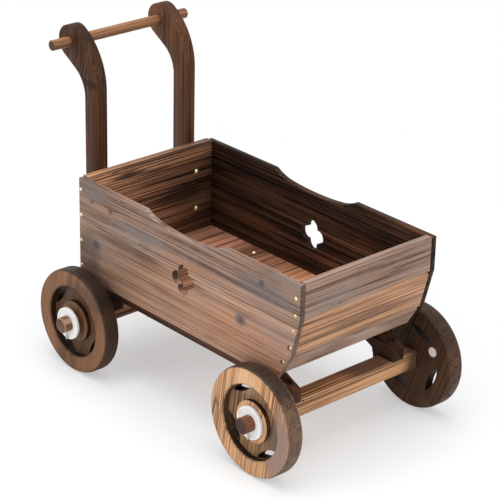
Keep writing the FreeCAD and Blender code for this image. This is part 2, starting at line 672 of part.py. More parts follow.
def post_bolts():
    """Bolts through the rear boards and the posts, with washers and nuts behind."""
    bolts, washers, nuts, holes = [], [], [], []
    face = "Dims.floor_start"
    seat = "-Dims.rear_back - Dims.post_depth"
    for side, sign in SIDES:
        for level in ("high", "low"):
            name = "%s_%s_post" % (side, level)
            offset = along_y(sign, "Dims.post_bolt_offset")
            up = "Dims.post_bolt_" + level
            bolt = fastener(name + "_bolt", "post_bolt", True)
            bolts.append(aim(bolt, (face, offset, up), AXIS_X))
            holes.append(drilling(name + "_bolt", "post_bolt", (face, offset, up), AXIS_X))
            disc = cylinder(name + "_washer_disc", "Dims.post_washer_radius", "Dims.post_washer_thick")
            bore = cylinder(name + "_washer_bore", "Dims.post_bolt_radius + Dims.hole_clearance",
                            "Dims.post_washer_thick")
            washers.append(aim(cut(name + "_washer", disc, bore), (seat, offset, up), -AXIS_X))
            behind = (seat + " - Dims.post_washer_thick", offset, up)
            nuts.append(nut(name + "_nut", "post", behind, -AXIS_X))
    keep(together("post_bolt_group", bolts), "handle_post_bolts")
    keep(together("post_washer_group", washers), "handle_post_washers")
    keep(together("post_nut_group", nuts), "handle_post_nuts")
    return together("post_bolt_holes", holes)


def floor_bolts():
    """Bolts through the floor and the rails, with nuts below."""
    bolts, nuts, holes = [], [], []
    for end in ("rear", "front"):
        for side, sign in SIDES:
            name = "%s_%s_floor" % (end, side)
            along = "Dims.floor_bolt_" + end
            offset = along_y(sign, "Dims.floor_bolt_offset")
            above = (along, offset, "Dims.floor_top")
            bolts.append(aim(fastener(name + "_bolt", "floor_bolt", True), above, AXIS_Z))
            holes.append(drilling(name + "_bolt", "floor_bolt", above, AXIS_Z))
            nuts.append(nut(name + "_nut", "floor", (along, offset, "Dims.rail_bottom"), -AXIS_Z))
    keep(together("floor_bolt_group", bolts), "floor_bolts")
    keep(together("floor_nut_group", nuts), "floor_bolt_nuts")
    return together("floor_bolt_holes", holes)


def arm_screws():
    """Screws down from each arm into its beam and up into its rail, in sunk bores."""
    down, up, holes = [], [], []
    for end in ("rear", "front"):
        for side, sign in SIDES:
            name = "%s_%s_arm" % (end, side)
            offset = along_y(sign, "Dims.arm_centre")
            above = ("Dims.%s_axle_x" % end, offset, "Dims.arm_screw_seat_z")
            below = ("Dims.%s_rail_screw_x" % end, offset, "Dims.rail_screw_seat_z")
            down.append(aim(fastener(name + "_beam_screw", "arm_screw", False), above, AXIS_Z))
            up.append(aim(fastener(name + "_rail_screw", "rail_screw", False), below, -AXIS_Z))
            holes.append(drilling(name + "_beam", "arm_screw", above, AXIS_Z, "Dims.arm_bore_depth"))
            holes.append(drilling(name + "_rail", "rail_screw", below, -AXIS_Z, "Dims.arm_bore_depth"))
    keep(together("beam_screw_group", down), "arm_beam_screws")
    keep(together("rail_screw_group", up), "arm_rail_screws")
    return together("arm_holes", holes)


# ---------------------------------------------------------------------------
# The planter box
# ---------------------------------------------------------------------------
def window_tool():
    """Five rods across the cart that cut the four-lobed windows in both sides."""
    lobes = [("Dims.window_reach", "0"), ("-Dims.window_reach", "0"),
             ("0", "Dims.window_reach"), ("0", "-Dims.window_reach"), ("0", "0")]
    rods = []
    for index, (across, up) in enumerate(lobes):
        radius = "Dims.window_heart" if index == 4 else "Dims.window_lobe"
        rod = cylinder("window_rod_%d" % index, radius, "2 * Dims.box_width")
        spot = ("Dims.window_x + " + across, "-Dims.box_width", "Dims.window_z + " + up)
        rods.append(aim(rod, spot, AXIS_Y))
    tool = doc.addObject("Part::MultiFuse", "window_tool")
    tool.Shapes = rods
    return tool


def seam_cut(body, name, sign, seam_side):
    """Bevel the outer edge of a side board along the seam."""
    outer = "half_side" if sign > 0 else "half_side_outer"
    inner = "half_side_cut" if sign > 0 else "half_side_cut_outer"
    corners = [(outer, "side_seam"), (outer, seam_side), (inner, "side_seam")]
    sketch = outline(body, "YZ_Plane", name + "_bevel", corners)
    pocket_through(body, sketch, name + "_bevel_cut", "4 * Dims.box_length")


def side_panels(window, corner_holes):
    """The upper and lower board of each side."""
    upper = [("datum", "side_seam"), ("seam_x", "side_seam"), ("box_length", "front_upright"),
             ("box_length", "box_top"),
             ("dip_end", "box_top", "dip_shoulder_radius", "right"),
             ("dip_low_end", "dip_edge_z", "dip_low_radius", "right"),
             ("dip_low_start", "dip_edge_z", "dip_shoulder_radius", "right"),
             ("dip_start", "box_top"), ("datum", "box_top")]
    lower = [("datum", "side_bottom"), ("toe_x", "side_bottom"), ("knee_x", "front_knee"),
             ("seam_x", "side_seam"), ("datum", "side_seam")]
    for side, sign in SIDES:
        for level, corners, bevel in (("upper", upper, "seam_above"), ("lower", lower, "seam_below")):
            name = "%s_side_%s" % (side, level)
            board = profile_body(name + "_plain", "XZ_Plane", corners, "Dims.side_thick")
            seam_cut(board, name, sign, bevel)
            place(board, y=along_y(sign, "Dims.side_centre"))
            opened = cut(name + "_opened", board, window)
            keep(cut(name, opened, corner_holes), name + "_board")


def end_boards(corner_holes, bolt_holes):
    """Two rear boards and three front boards between the sides."""
    for level, height, foot in (("lower", "lower_rear_height", "side_bottom"),
                                ("upper", "upper_rear_height", "rear_seam")):
        board = box("rear_%s_plain" % level, "Dims.rear_thick", "Dims.inside_width", "Dims." + height,
                    "-Dims.rear_back", "-Dims.inside_half", "Dims." + foot)
        screwed = cut("rear_%s_screwed" % level, board, corner_holes)
        keep(cut("rear_%s" % level, screwed, bolt_holes), "rear_%s_board" % level)
    upper = [("front_inner_x", "front_upright"), ("box_length", "front_upright"),
             ("box_length", "front_top"), ("front_inner_x", "front_top")]
    middle = [("middle_bevel_x", "middle_bevel_z"), ("middle_shelf_x", "middle_shelf_z"),
              ("middle_back_top_x", "middle_back_top_z"), ("middle_back_low_x", "middle_back_low_z"),
              ("knee_x", "front_knee")]
    lower = [("lower_bevel_x", "lower_bevel_z"), ("lower_shelf_x", "lower_shelf_z"),
             ("lower_back_top_x", "lower_back_top_z"), ("lower_back_low_x", "lower_back_low_z"),
             ("lip_x", "front_lip")]
    for level, corners in (("upper", upper), ("middle", middle), ("lower", lower)):
        board = profile_body("front_%s_plain" % level, "XZ_Plane", corners, "Dims.inside_width")
        keep(cut("front_%s" % level, board, corner_holes), "front_%s_board" % level)


def floor_and_rails(bolt_holes, screw_holes):
    """Six floor boards across the cart on two rails along it."""
    starts = ("floor_start", "floor_x1", "floor_x2", "floor_x3", "floor_x4", "floor_x5")
    widths = ("floor_first", "floor_second", "floor_third", "floor_wide", "floor_wide", "floor_last")
    for index, (start, width) in enumerate(zip(starts, widths)):
        name = "floor_%d" % (index + 1)
        board = box(name + "_plain", "Dims." + width, "Dims.inside_width", "Dims.floor_thick",
                    "Dims." + start, "-Dims.inside_half", "Dims.floor_bottom")
        keep(cut(name, board, bolt_holes), "floor_board_%d" % (index + 1))
    for side, sign in SIDES:
        rail = box(side + "_rail_plain", "Dims.rail_length", "Dims.rail_width", "Dims.rail_height",
                   "Dims.rail_start", "%d * Dims.rail_centre - Dims.rail_width / 2" % sign,
                   "Dims.rail_bottom")
        bolted = cut(side + "_rail_bolted", rail, bolt_holes)
        keep(cut(side + "_rail", bolted, screw_holes), side + "_floor_rail")


# ---------------------------------------------------------------------------
# Handle
# ---------------------------------------------------------------------------
def handle(bolt_holes):
    """Two bent posts and the round bar through their heads."""
    corners = [("datum", "post_bottom"),
               ("datum", "bend_front", "front_bend_radius", "left"),
               ("crown_x", "crown_z", "head_radius", "left"),
               ("head_back_x", "bar_height", "head_radius", "left"),
               ("throat_top_x", "throat_top_z"),
               ("throat_low_x", "throat_low_z", "bend_radius", "right"),
               ("post_back", "bend_rear"), ("post_back", "post_bottom")]
    for side, sign in SIDES:
        post = profile_body(side + "_post_plain", "XZ_Plane", corners, "Dims.post_width")
        eye = circle_sketch(post, "XZ_Plane", side + "_post_eye", "head_x", "bar_height", "bar_hole")
        pocket_through(post, eye, side + "_post_eye_cut", "2 * Dims.post_width")
        place(post, x="-Dims.rear_back", y=along_y(sign, "Dims.post_centre"))
        keep(cut(side + "_post", post, bolt_holes), side + "_handle_post")
    bar = turned_body("bar", [("datum", "bar_reach_low"), ("bar_face_radius", "bar_reach_low"),
                              ("bar_radius", "bar_neck_low"), ("bar_radius", "bar_neck"),
                              ("bar_face_radius", "bar_reach"), ("datum", "bar_reach")])
    place(bar, z="Dims.bar_height")
    keep(bar, "handle_bar", "Dims.head_x - Dims.rear_back")


# ---------------------------------------------------------------------------
# Axles, arms and wheels
# ---------------------------------------------------------------------------
def axle_beams(arm_holes):
    """Square beams turned round at both ends, with a hole near each end for its pin."""
    for end in ("rear", "front"):
        beam = box(end + "_beam_square", "Dims.beam_size", "2 * Dims.beam_half_length", "Dims.beam_size",
                   "Dims.%s_axle_x - Dims.half_beam" % end, "-Dims.beam_half_length",
                   "Dims.wheel_radius - Dims.half_beam")
        section = [("datum", end + "_reach_low"), ("journal_face_radius", end + "_reach_low"),
                   ("journal_radius", end + "_neck_low"), ("journal_radius", end + "_journal_neck"),
                   ("journal_face_radius", end + "_axle_reach"), ("datum", end + "_axle_reach")]
        journal = turned_body(end + "_journals", section)
        place(journal, x="Dims.%s_axle_x" % end, z="Dims.wheel_radius")
        axle = fuse(end + "_axle_whole", beam, journal)
        drilled = cut(end + "_axle_drilled", axle, arm_holes)
        small_holes = pin_rods(end, "pin_hole", "Dims.pin_radius + Dims.hole_clearance")
        if end == "front":
            small_holes.append(pilot_hole())
        keep(cut(end + "_axle", drilled, together(end + "_small_holes", small_holes)), end + "_axle_beam")


def pilot_hole():
    """A small blind hole in the front face of the front beam, towards its right end."""
    hole = cylinder("pilot_hole", "Dims.pilot_radius", "Dims.pilot_depth")
    face = "Dims.front_axle_x + Dims.half_beam"
    return aim(hole, (face, "-Dims.pilot_offset", "Dims.pilot_height"), -AXIS_X)


def pin_rods(end, name, radius):
    """Two upright rods through the ends of an axle."""
    rods = []
    for side, sign in SIDES:
        rod = cylinder("%s_%s_%s" % (end, side, name), radius, "Dims.pin_length")
        place(rod, "Dims.%s_axle_x" % end, along_y(sign, "Dims.%s_pin_y" % end), "Dims.pin_bottom")
        rods.append(rod)
    return rods


def axle_pins():
    """The pins that hold the wheels on."""
    pins = pin_rods("rear", "pin", "Dims.pin_radius") + pin_rods("front", "pin", "Dims.pin_radius")
    keep(together("pin_group", pins), "axle_pins")


def arms(arm_holes):
    """Four sloping arms that carry the rails on the beams, each hooked over its beam."""
    corners = [("arm_end_x", "beam_top"), ("arm_end_x", "arm_nose_z"),
               ("arm_shoulder", "arm_shoulder_z"), ("arm_shoulder", "rail_bottom"),
               ("arm_tail", "rail_bottom"), ("arm_heel_x", "arm_under_z"),
               ("arm_heel_x", "arm_hook_z"), ("half_beam", "arm_hook_z"), ("half_beam", "beam_top")]
    for end, facing in (("rear", 0), ("front", 180)):
        for side, sign in SIDES:
            name = "%s_%s_arm" % (end, side)
            arm = profile_body(name + "_plain", "XZ_Plane", corners, "Dims.arm_width")
            turn(arm, AXIS_Z, facing)
            place(arm, "Dims.%s_axle_x" % end, along_y(sign, "Dims.arm_centre"))
            keep(cut(name + "_drilled", arm, arm_holes), name)


def wheels():
    """Four turned wheels, each with a hollow outer face and slots through its web."""
    section = [("bore_radius", "boss_sink"), ("boss_radius", "boss_sink"), ("boss_radius", "recess_depth"),
               ("recess_radius", "recess_depth"), ("recess_radius", "wheel_bevel"),
               ("recess_shoulder", "datum"), ("tread_shoulder", "datum"),
               ("wheel_radius", "wheel_bevel"), ("wheel_radius", "inner_shoulder"),
               ("tread_shoulder", "wheel_thick"), ("bore_radius", "wheel_thick")]
    slot = [("slot_edge_x", "slot_edge_low", "slot_outer", "left"),
            ("slot_edge_x", "slot_half_chord", "slot_inner_radius", "left")]
    for end in ("rear", "front"):
        for side, sign in SIDES:
            name = "%s_%s_turned_wheel" % (end, side)
            wheel = turned_body(name, section)
            sketch = outline(wheel, "XZ_Plane", name + "_slot", slot)
            first = pocket_through(wheel, sketch, name + "_slot_cut", "4 * Dims.wheel_thick")
            ring = wheel.newObject("PartDesign::PolarPattern", name + "_slots")
            ring.Originals = [first]
            ring.Axis = (sketch, ["N_Axis"])
            ring.Angle = 360
            bind(ring, "Occurrences", "Dims.slot_count")
            wheel.Tip = ring
            facing = FreeCAD.Rotation(AXIS_Z, 0 if sign < 0 else 180)
            spin = FreeCAD.Rotation(AXIS_Y, -size("%s_%s_turn" % (end, side)))
            wheel.Placement = FreeCAD.Placement(FreeCAD.Vector(0, 0, 0), spin.multiply(facing))
            place(wheel, y=along_y(sign, "Dims.wheel_outer"), z="Dims.wheel_radius")
            keep(wheel, "%s_%s_wheel" % (end, side), "Dims.%s_axle_x" % end)


def hub_washers():
    """A dished plastic washer between each wheel and its pin."""
    section = [("bore_radius", "datum"), ("hub_washer_radius", "datum"),
               ("hub_washer_radius", "hub_washer_thick"), ("washer_step", "hub_washer_thick"),
               ("washer_step", "washer_dish_face"), ("bore_radius", "washer_dish_face")]
    for end in ("rear", "front"):
        for side, sign in SIDES:
            name = "%s_%s_hub_washer" % (end, side)
            washer = turned_body(name + "_ring", section)
            turn(washer, AXIS_Z, 0 if sign > 0 else 180)
            place(washer, y=along_y(sign, "Dims.%s_washer_inner" % end), z="Dims.wheel_radius")
            keep(washer, name, "Dims.%s_axle_x" % end)


def blank_label():
    """A plain round label on the inner face of the front left wheel."""
    disc = cylinder("label_disc", "Dims.label_radius", "Dims.label_thick")
    aim(disc, ("0", "Dims.wheel_inner",
               "Dims.wheel_radius + Dims.label_offset * sin(Dims.label_angle)"), -AXIS_Y)
    keep(disc, "wheel_label", "Dims.front_axle_x + Dims.label_offset * cos(Dims.label_angle)")


def check_model():
    """Stop unless every object is sound and every piece is a valid solid or group of solids."""
    doc.recompute()
    for obj in doc.Objects:
        if "Invalid" in obj.State or "Error" in obj.State:
            raise RuntimeError("%s is %s" % (obj.Name, obj.State))
    for piece in PIECES:
        shape = piece.Shape
        if shape.isNull() or not shape.isValid() or not shape.Solids:
            raise RuntimeError("%s has a bad shape" % piece.Label)


def export():
    """Write one file for each piece."""
    os.makedirs("parts", exist_ok=True)
    for piece in PIECES:
        solids = piece.Shape.Solids
        shape = solids[0] if len(solids) == 1 else Part.makeCompound(solids)
        shape.exportStep(os.path.join("parts", piece.Label + ".step"))
        centre = shape.CenterOfGravity
        print("%-24s %2d solids %9.1f mm3 at %7.1f %7.1f %7.1f"
              % (piece.Label, len(solids), shape.Volume, centre.x, centre.y, centre.z))


fill_sheet()
corner_holes = corner_screws()
post_bolt_holes = post_bolts()
floor_bolt_holes = floor_bolts()
arm_holes = arm_screws()
side_panels(window_tool(), corner_holes)
end_boards(corner_holes, post_bolt_holes)
floor_and_rails(floor_bolt_holes, arm_holes)
handle(post_bolt_holes)
axle_beams(arm_holes)
arms(arm_holes)
axle_pins()
wheels()
hub_washers()
blank_label()
check_model()
export()
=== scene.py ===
"""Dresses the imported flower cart: scorched fir boards, turned wheels and its small fittings.

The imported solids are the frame. Every wooden piece is an eased copy of its solid with a
procedural timber finish whose growth rings run through it in three dimensions, so faces,
edges and end grain agree with each other.
"""

import json
import logging
import math
from dataclasses import dataclass, field
from enum import Enum
from typing import Any, Callable, Optional, Union

import bmesh
import bpy
from mathutils import Matrix, Vector

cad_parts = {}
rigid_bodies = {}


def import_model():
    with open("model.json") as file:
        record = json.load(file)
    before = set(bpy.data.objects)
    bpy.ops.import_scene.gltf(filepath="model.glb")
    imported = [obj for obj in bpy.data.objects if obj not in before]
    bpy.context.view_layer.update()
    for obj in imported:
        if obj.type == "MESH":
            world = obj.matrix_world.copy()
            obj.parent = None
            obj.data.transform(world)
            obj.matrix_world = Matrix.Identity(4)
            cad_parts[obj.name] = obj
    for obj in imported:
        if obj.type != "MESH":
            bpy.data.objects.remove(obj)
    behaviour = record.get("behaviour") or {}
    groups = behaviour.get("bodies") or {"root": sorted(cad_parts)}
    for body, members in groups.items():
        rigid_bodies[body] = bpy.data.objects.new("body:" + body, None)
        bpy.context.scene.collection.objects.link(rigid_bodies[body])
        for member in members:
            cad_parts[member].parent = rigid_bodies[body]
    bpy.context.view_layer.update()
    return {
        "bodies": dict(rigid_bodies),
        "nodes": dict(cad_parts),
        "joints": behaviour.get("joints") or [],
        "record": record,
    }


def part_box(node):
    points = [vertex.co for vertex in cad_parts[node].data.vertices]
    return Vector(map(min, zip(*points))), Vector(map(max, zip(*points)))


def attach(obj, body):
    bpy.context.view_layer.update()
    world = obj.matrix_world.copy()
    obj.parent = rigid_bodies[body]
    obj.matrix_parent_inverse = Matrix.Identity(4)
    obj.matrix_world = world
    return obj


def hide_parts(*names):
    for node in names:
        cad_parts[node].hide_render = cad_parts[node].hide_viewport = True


LOG = logging.getLogger("flower_cart")

Rgb = tuple[float, float, float]
Number = Union[int, float]


def srgb(red: int, green: int, blue: int) -> Rgb:
    """Turn a colour written as 0 to 255 into the linear values a shader takes.

    Args:
        red: Red, 0 to 255.
        green: Green, 0 to 255.
        blue: Blue, 0 to 255.

    Returns:
        The linear colour.
    """
    def linear(channel: int) -> float:
        """One channel as a linear value."""
        share = channel / 255
        return share / 12.92 if share <= 0.04045 else ((share + 0.055) / 1.055) ** 2.4

    return linear(red), linear(green), linear(blue)


# ---------------------------------------------------------------------------
# Shader expressions
# ---------------------------------------------------------------------------
class Value:
    """A single number carried by a shader socket, with arithmetic that adds Math nodes."""

    def __init__(self, graph: "Graph", socket: Any) -> None:
        """Wrap a socket.

        Args:
            graph: The graph that the socket belongs to.
            socket: An output socket that carries one number.
        """
        self.graph = graph
        self.socket = socket

    def _math(self, operation: str, first: Any, second: Any = None) -> "Value":
        """Add one Math node.

        Args:
            operation: Its operation.
            first: Its first input, a value or a number.
            second: Its second input, where it has one.

        Returns:
            What it gives.
        """
        inputs = {0: first} if second is None else {0: first, 1: second}
        node = self.graph.node("ShaderNodeMath", {"operation": operation}, inputs)
        return Value(self.graph, node.outputs[0])

    def __add__(self, other: Any) -> "Value":
        """Sum."""
        return self._math("ADD", self, other)

    def __radd__(self, other: Any) -> "Value":
        """Sum with a plain number on the left."""
        return self._math("ADD", other, self)

    def __sub__(self, other: Any) -> "Value":
        """Difference."""
        return self._math("SUBTRACT", self, other)

    def __rsub__(self, other: Any) -> "Value":
        """Difference with a plain number on the left."""
        return self._math("SUBTRACT", other, self)

    def __mul__(self, other: Any) -> "Value":
        """Product."""
        return self._math("MULTIPLY", self, other)

    def __rmul__(self, other: Any) -> "Value":
        """Product with a plain number on the left."""
        return self._math("MULTIPLY", other, self)

    def __truediv__(self, other: Any) -> "Value":
        """Quotient."""
        return self._math("DIVIDE", self, other)

    def __rtruediv__(self, other: Any) -> "Value":
        """Quotient with a plain number on the left."""
        return self._math("DIVIDE", other, self)

    def __abs__(self) -> "Value":
        """Size without its sign."""
        return self._math("ABSOLUTE", self)

    def root(self) -> "Value":
        """Square root."""
        return self._math("SQRT", self)

    def exp(self) -> "Value":
        """e to this power."""
        return self._math("EXPONENT", self)

    def fraction(self) -> "Value":
        """What is left after the whole turns are taken away."""
        return self._math("FRACT", self)

    def largest(self, other: Any) -> "Value":
        """The larger of two."""
        return self._math("MAXIMUM", self, other)

    def smooth(self, low: float, high: float) -> "Value":
        """Rise smoothly from 0 at low to 1 at high.

        Args:
            low: Where it starts to rise.
            high: Where it reaches 1.

        Returns:
            The rise.
        """
        node = self.graph.node("ShaderNodeMapRange", {"interpolation_type": "SMOOTHSTEP"},
                               {"Value": self, "From Min": low, "From Max": high,
                                "To Min": 0.0, "To Max": 1.0})
        return Value(self.graph, node.outputs[0])


class Graph:
    """A material's nodes."""

    def __init__(self, name: str) -> None:
        """Start a material with a Principled shader.

        Args:
            name: The material's name.
        """
        self.material = bpy.data.materials.new(name)
        self.material.use_nodes = True
        self.tree = self.material.node_tree
        self.shader = self.tree.nodes["Principled BSDF"]

    def plug(self, socket: Any, given: Any) -> None:
        """Give an input socket a link or a number.

        Args:
            socket: The input socket.
            given: A Value, a socket, a colour or a number.
        """
        if isinstance(given, Value):
            self.tree.links.new(given.socket, socket)
        elif isinstance(given, bpy.types.NodeSocket):
            self.tree.links.new(given, socket)
        elif isinstance(given, (tuple, Vector)) and len(socket.default_value) == 4:
            socket.default_value = (*given, 1.0)
        else:
            socket.default_value = given

    def node(self, kind: str, settings: dict[str, Any], inputs: dict[Any, Any]) -> Any:
        """Add any node.

        Args:
            kind: The node's type.
            settings: Its settings, set first.
            inputs: What its sockets get, by name or number.

        Returns:
            The node.
        """
        node = self.tree.nodes.new(kind)
        for name, setting in settings.items():
            setattr(node, name, setting)
        for name, given in inputs.items():
            self.plug(node.inputs[name], given)
        return node

    def vector(self, x: Any, y: Any, z: Any) -> Any:
        """Three values as one vector socket."""
        return self.node("ShaderNodeCombineXYZ", {}, {0: x, 1: y, 2: z}).outputs[0]

    def split(self, vector: Any) -> tuple[Value, Value, Value]:
        """A vector socket as three values."""
        node = self.node("ShaderNodeSeparateXYZ", {}, {0: vector})
        return tuple(Value(self, node.outputs[index]) for index in range(3))

    def moved(self, vector: Any, shift: tuple[float, float, float]) -> Any:
        """A vector socket with a constant added."""
        settings = {"operation": "ADD"}
        return self.node("ShaderNodeVectorMath", settings, {0: vector, 1: Vector(shift)}).outputs[0]

    def noise(self, vector: Any, detail: float = 2.0, roughness: float = 0.5) -> Value:
        """Smooth noise about 0.5, one bump for each unit of the vector.

        Args:
            vector: Where it is read.
            detail: How many finer layers it has.
            roughness: How strong these are.

        Returns:
            The noise.
        """
        node = self.node("ShaderNodeTexNoise", {}, {"Vector": vector, "Scale": 1.0,
                                                    "Detail": detail, "Roughness": roughness})
        return Value(self, node.outputs[0])

    def mix(self, share: Any, first: Any, second: Any) -> Any:
        """Blend two colours.

        Args:
            share: How much of the second.
            first: The first colour.
            second: The second colour.

        Returns:
            The blended colour's socket.
        """
        node = self.node("ShaderNodeMix", {"data_type": "RGBA", "clamp_factor": True},
                         {0: share, 6: first, 7: second})
        return node.outputs[2]

    def scaled(self, colour: Any, factor: Any) -> Any:
        """A colour made lighter or darker by a factor."""
        node = self.node("ShaderNodeVectorMath", {"operation": "SCALE"}, {0: colour, "Scale": factor})
        return node.outputs[0]

    def bump(self, height: Value, strength: float, distance: float) -> None:
        """Raise the surface by a height through the shader's Normal."""
        node = self.node("ShaderNodeBump", {}, {"Height": height, "Strength": strength,
                                                "Distance": distance})
        self.plug(self.shader.inputs["Normal"], node.outputs[0])

    def finish(self, **sockets: Any) -> Any:
        """Fill the shader's sockets and return the material.

        Args:
            **sockets: A socket's name, with _ for each space, and what it gets.

        Returns:
            The material.
        """
        for name, given in sockets.items():
            self.plug(self.shader.inputs[name.replace("_", " ")], given)
        return self.material


# ---------------------------------------------------------------------------
# Timber
# ---------------------------------------------------------------------------
class Grain(Enum):
    """Which way a board's grain runs; the value orders the axes as along, across, deep."""

    ALONG_CART = (0, 2, 1)
    ACROSS_CART = (1, 2, 0)
    ACROSS_FLAT = (1, 0, 2)
    UPRIGHT = (2, 1, 0)
    WHEEL = (2, 0, 1)


@dataclass(frozen=True)
class Knot:
    """A knot in a board.

    Attributes:
        along: Its place along the grain, in metres in the part's frame.
        across: Its place across the grain.
        radius: Its radius.
        stretch: Its width across the grain as a share of its length along it.
    """

    along: float
    across: float
    radius: float = 0.005
    stretch: float = 0.8


@dataclass(frozen=True)
class Stain:
    """A patch with a soft outline, darker or paler than the board round it: most are scorched deeper or wiped
    paler, a few are painted shade.

    Attributes:
        along: Its middle along the grain, in metres in the part's frame.
        across: Its middle across the grain.
        reach_along: How far it reaches along the grain.
        reach_across: How far it reaches across it.
        colour: Its colour.
        strength: How much of it shows, 0 to 1.
    """

    along: float
    across: float
    reach_along: float
    reach_across: float
    colour: Rgb
    strength: float = 0.5


@dataclass(frozen=True)
class Timber:
    """A scorched fir finish.

    Attributes:
        light: Colour of the soft wood between the rings.
        dark: Colour of the rings.
        char: Colour of the deepest scorching.
        pitch: Spacing of the rings, in metres.
        contrast: How strongly the rings show.
        scorch: How much of the surface is scorched, 0 to 1.
        end_tone: How much darker the end grain is.
        rough: Roughness of the satin oil.
        haze: Colour of the pale bloom left by wiping the soot off.
        hazy: How much of the surface has it, 0 to 1.
        gloss: How much its surface reflects.
        banding: How strongly broad bands of rings stand out.
        lines: How strongly the fine lines along the grain stand out.
        edge_wear_and_highlight: How much of the scorching is rubbed off its edges, with a painted highlight
            there, 0 to 1.
    """

    light: Rgb
    dark: Rgb
    char: Rgb
    pitch: float = 0.0042
    contrast: float = 0.9
    scorch: float = 0.45
    end_tone: float = 0.62
    rough: float = 0.5
    haze: Rgb = srgb(150, 138, 132)
    hazy: float = 0.0
    gloss: float = 0.25
    banding: float = 0.6
    lines: float = 0.5
    edge_wear_and_highlight: float = 0.0


@dataclass(frozen=True)
class Cut:
    """How one board was cut from its log, with the painted light and shade laid on it.

    Attributes:
        grain: Which way its grain runs.
        tone: Lighter or darker than its timber; on the inner faces of the box, the floor boards and the far
            wheel it is painted light and shade.
        pith_across: The heart of the log from the board's middle, across the board.
        pith_deep: The heart of the log from the board's middle, through the board.
        seed: A shift that makes each board different.
        knots: Its knots.
        spin: Turn of a wheel's grain from upright, in degrees.
        far_end_painted_shading: The tone at the other end of the grain, where it differs; a painted ramp of
            light and shade along the board.
        tread_tone: How much darker a wheel's tread is; its inner walls take the painted shade
            INNER_WALL_PAINTED_SHADE.
        web_painted_shade: How much darker the hollow in a wheel's face is; a painted shade in the recess.
        stains: Its stains.
        outside: Which way its outer face looks through the board, 1 or -1, where that face differs; the inner
            face then carries the painted light and shade of its tone.
        outer_tone: The tone of the outer face there.
    """

    grain: Grain
    tone: float = 1.0
    pith_across: float = 0.11
    pith_deep: float = 0.06
    seed: float = 0.0
    knots: tuple[Knot, ...] = ()
    spin: float = 0.0
    far_end_painted_shading: Optional[float] = None
    tread_tone: float = 1.0
    web_painted_shade: float = 1.0
    stains: tuple[Stain, ...] = ()
    outside: float = 0.0
    outer_tone: float = 1.0


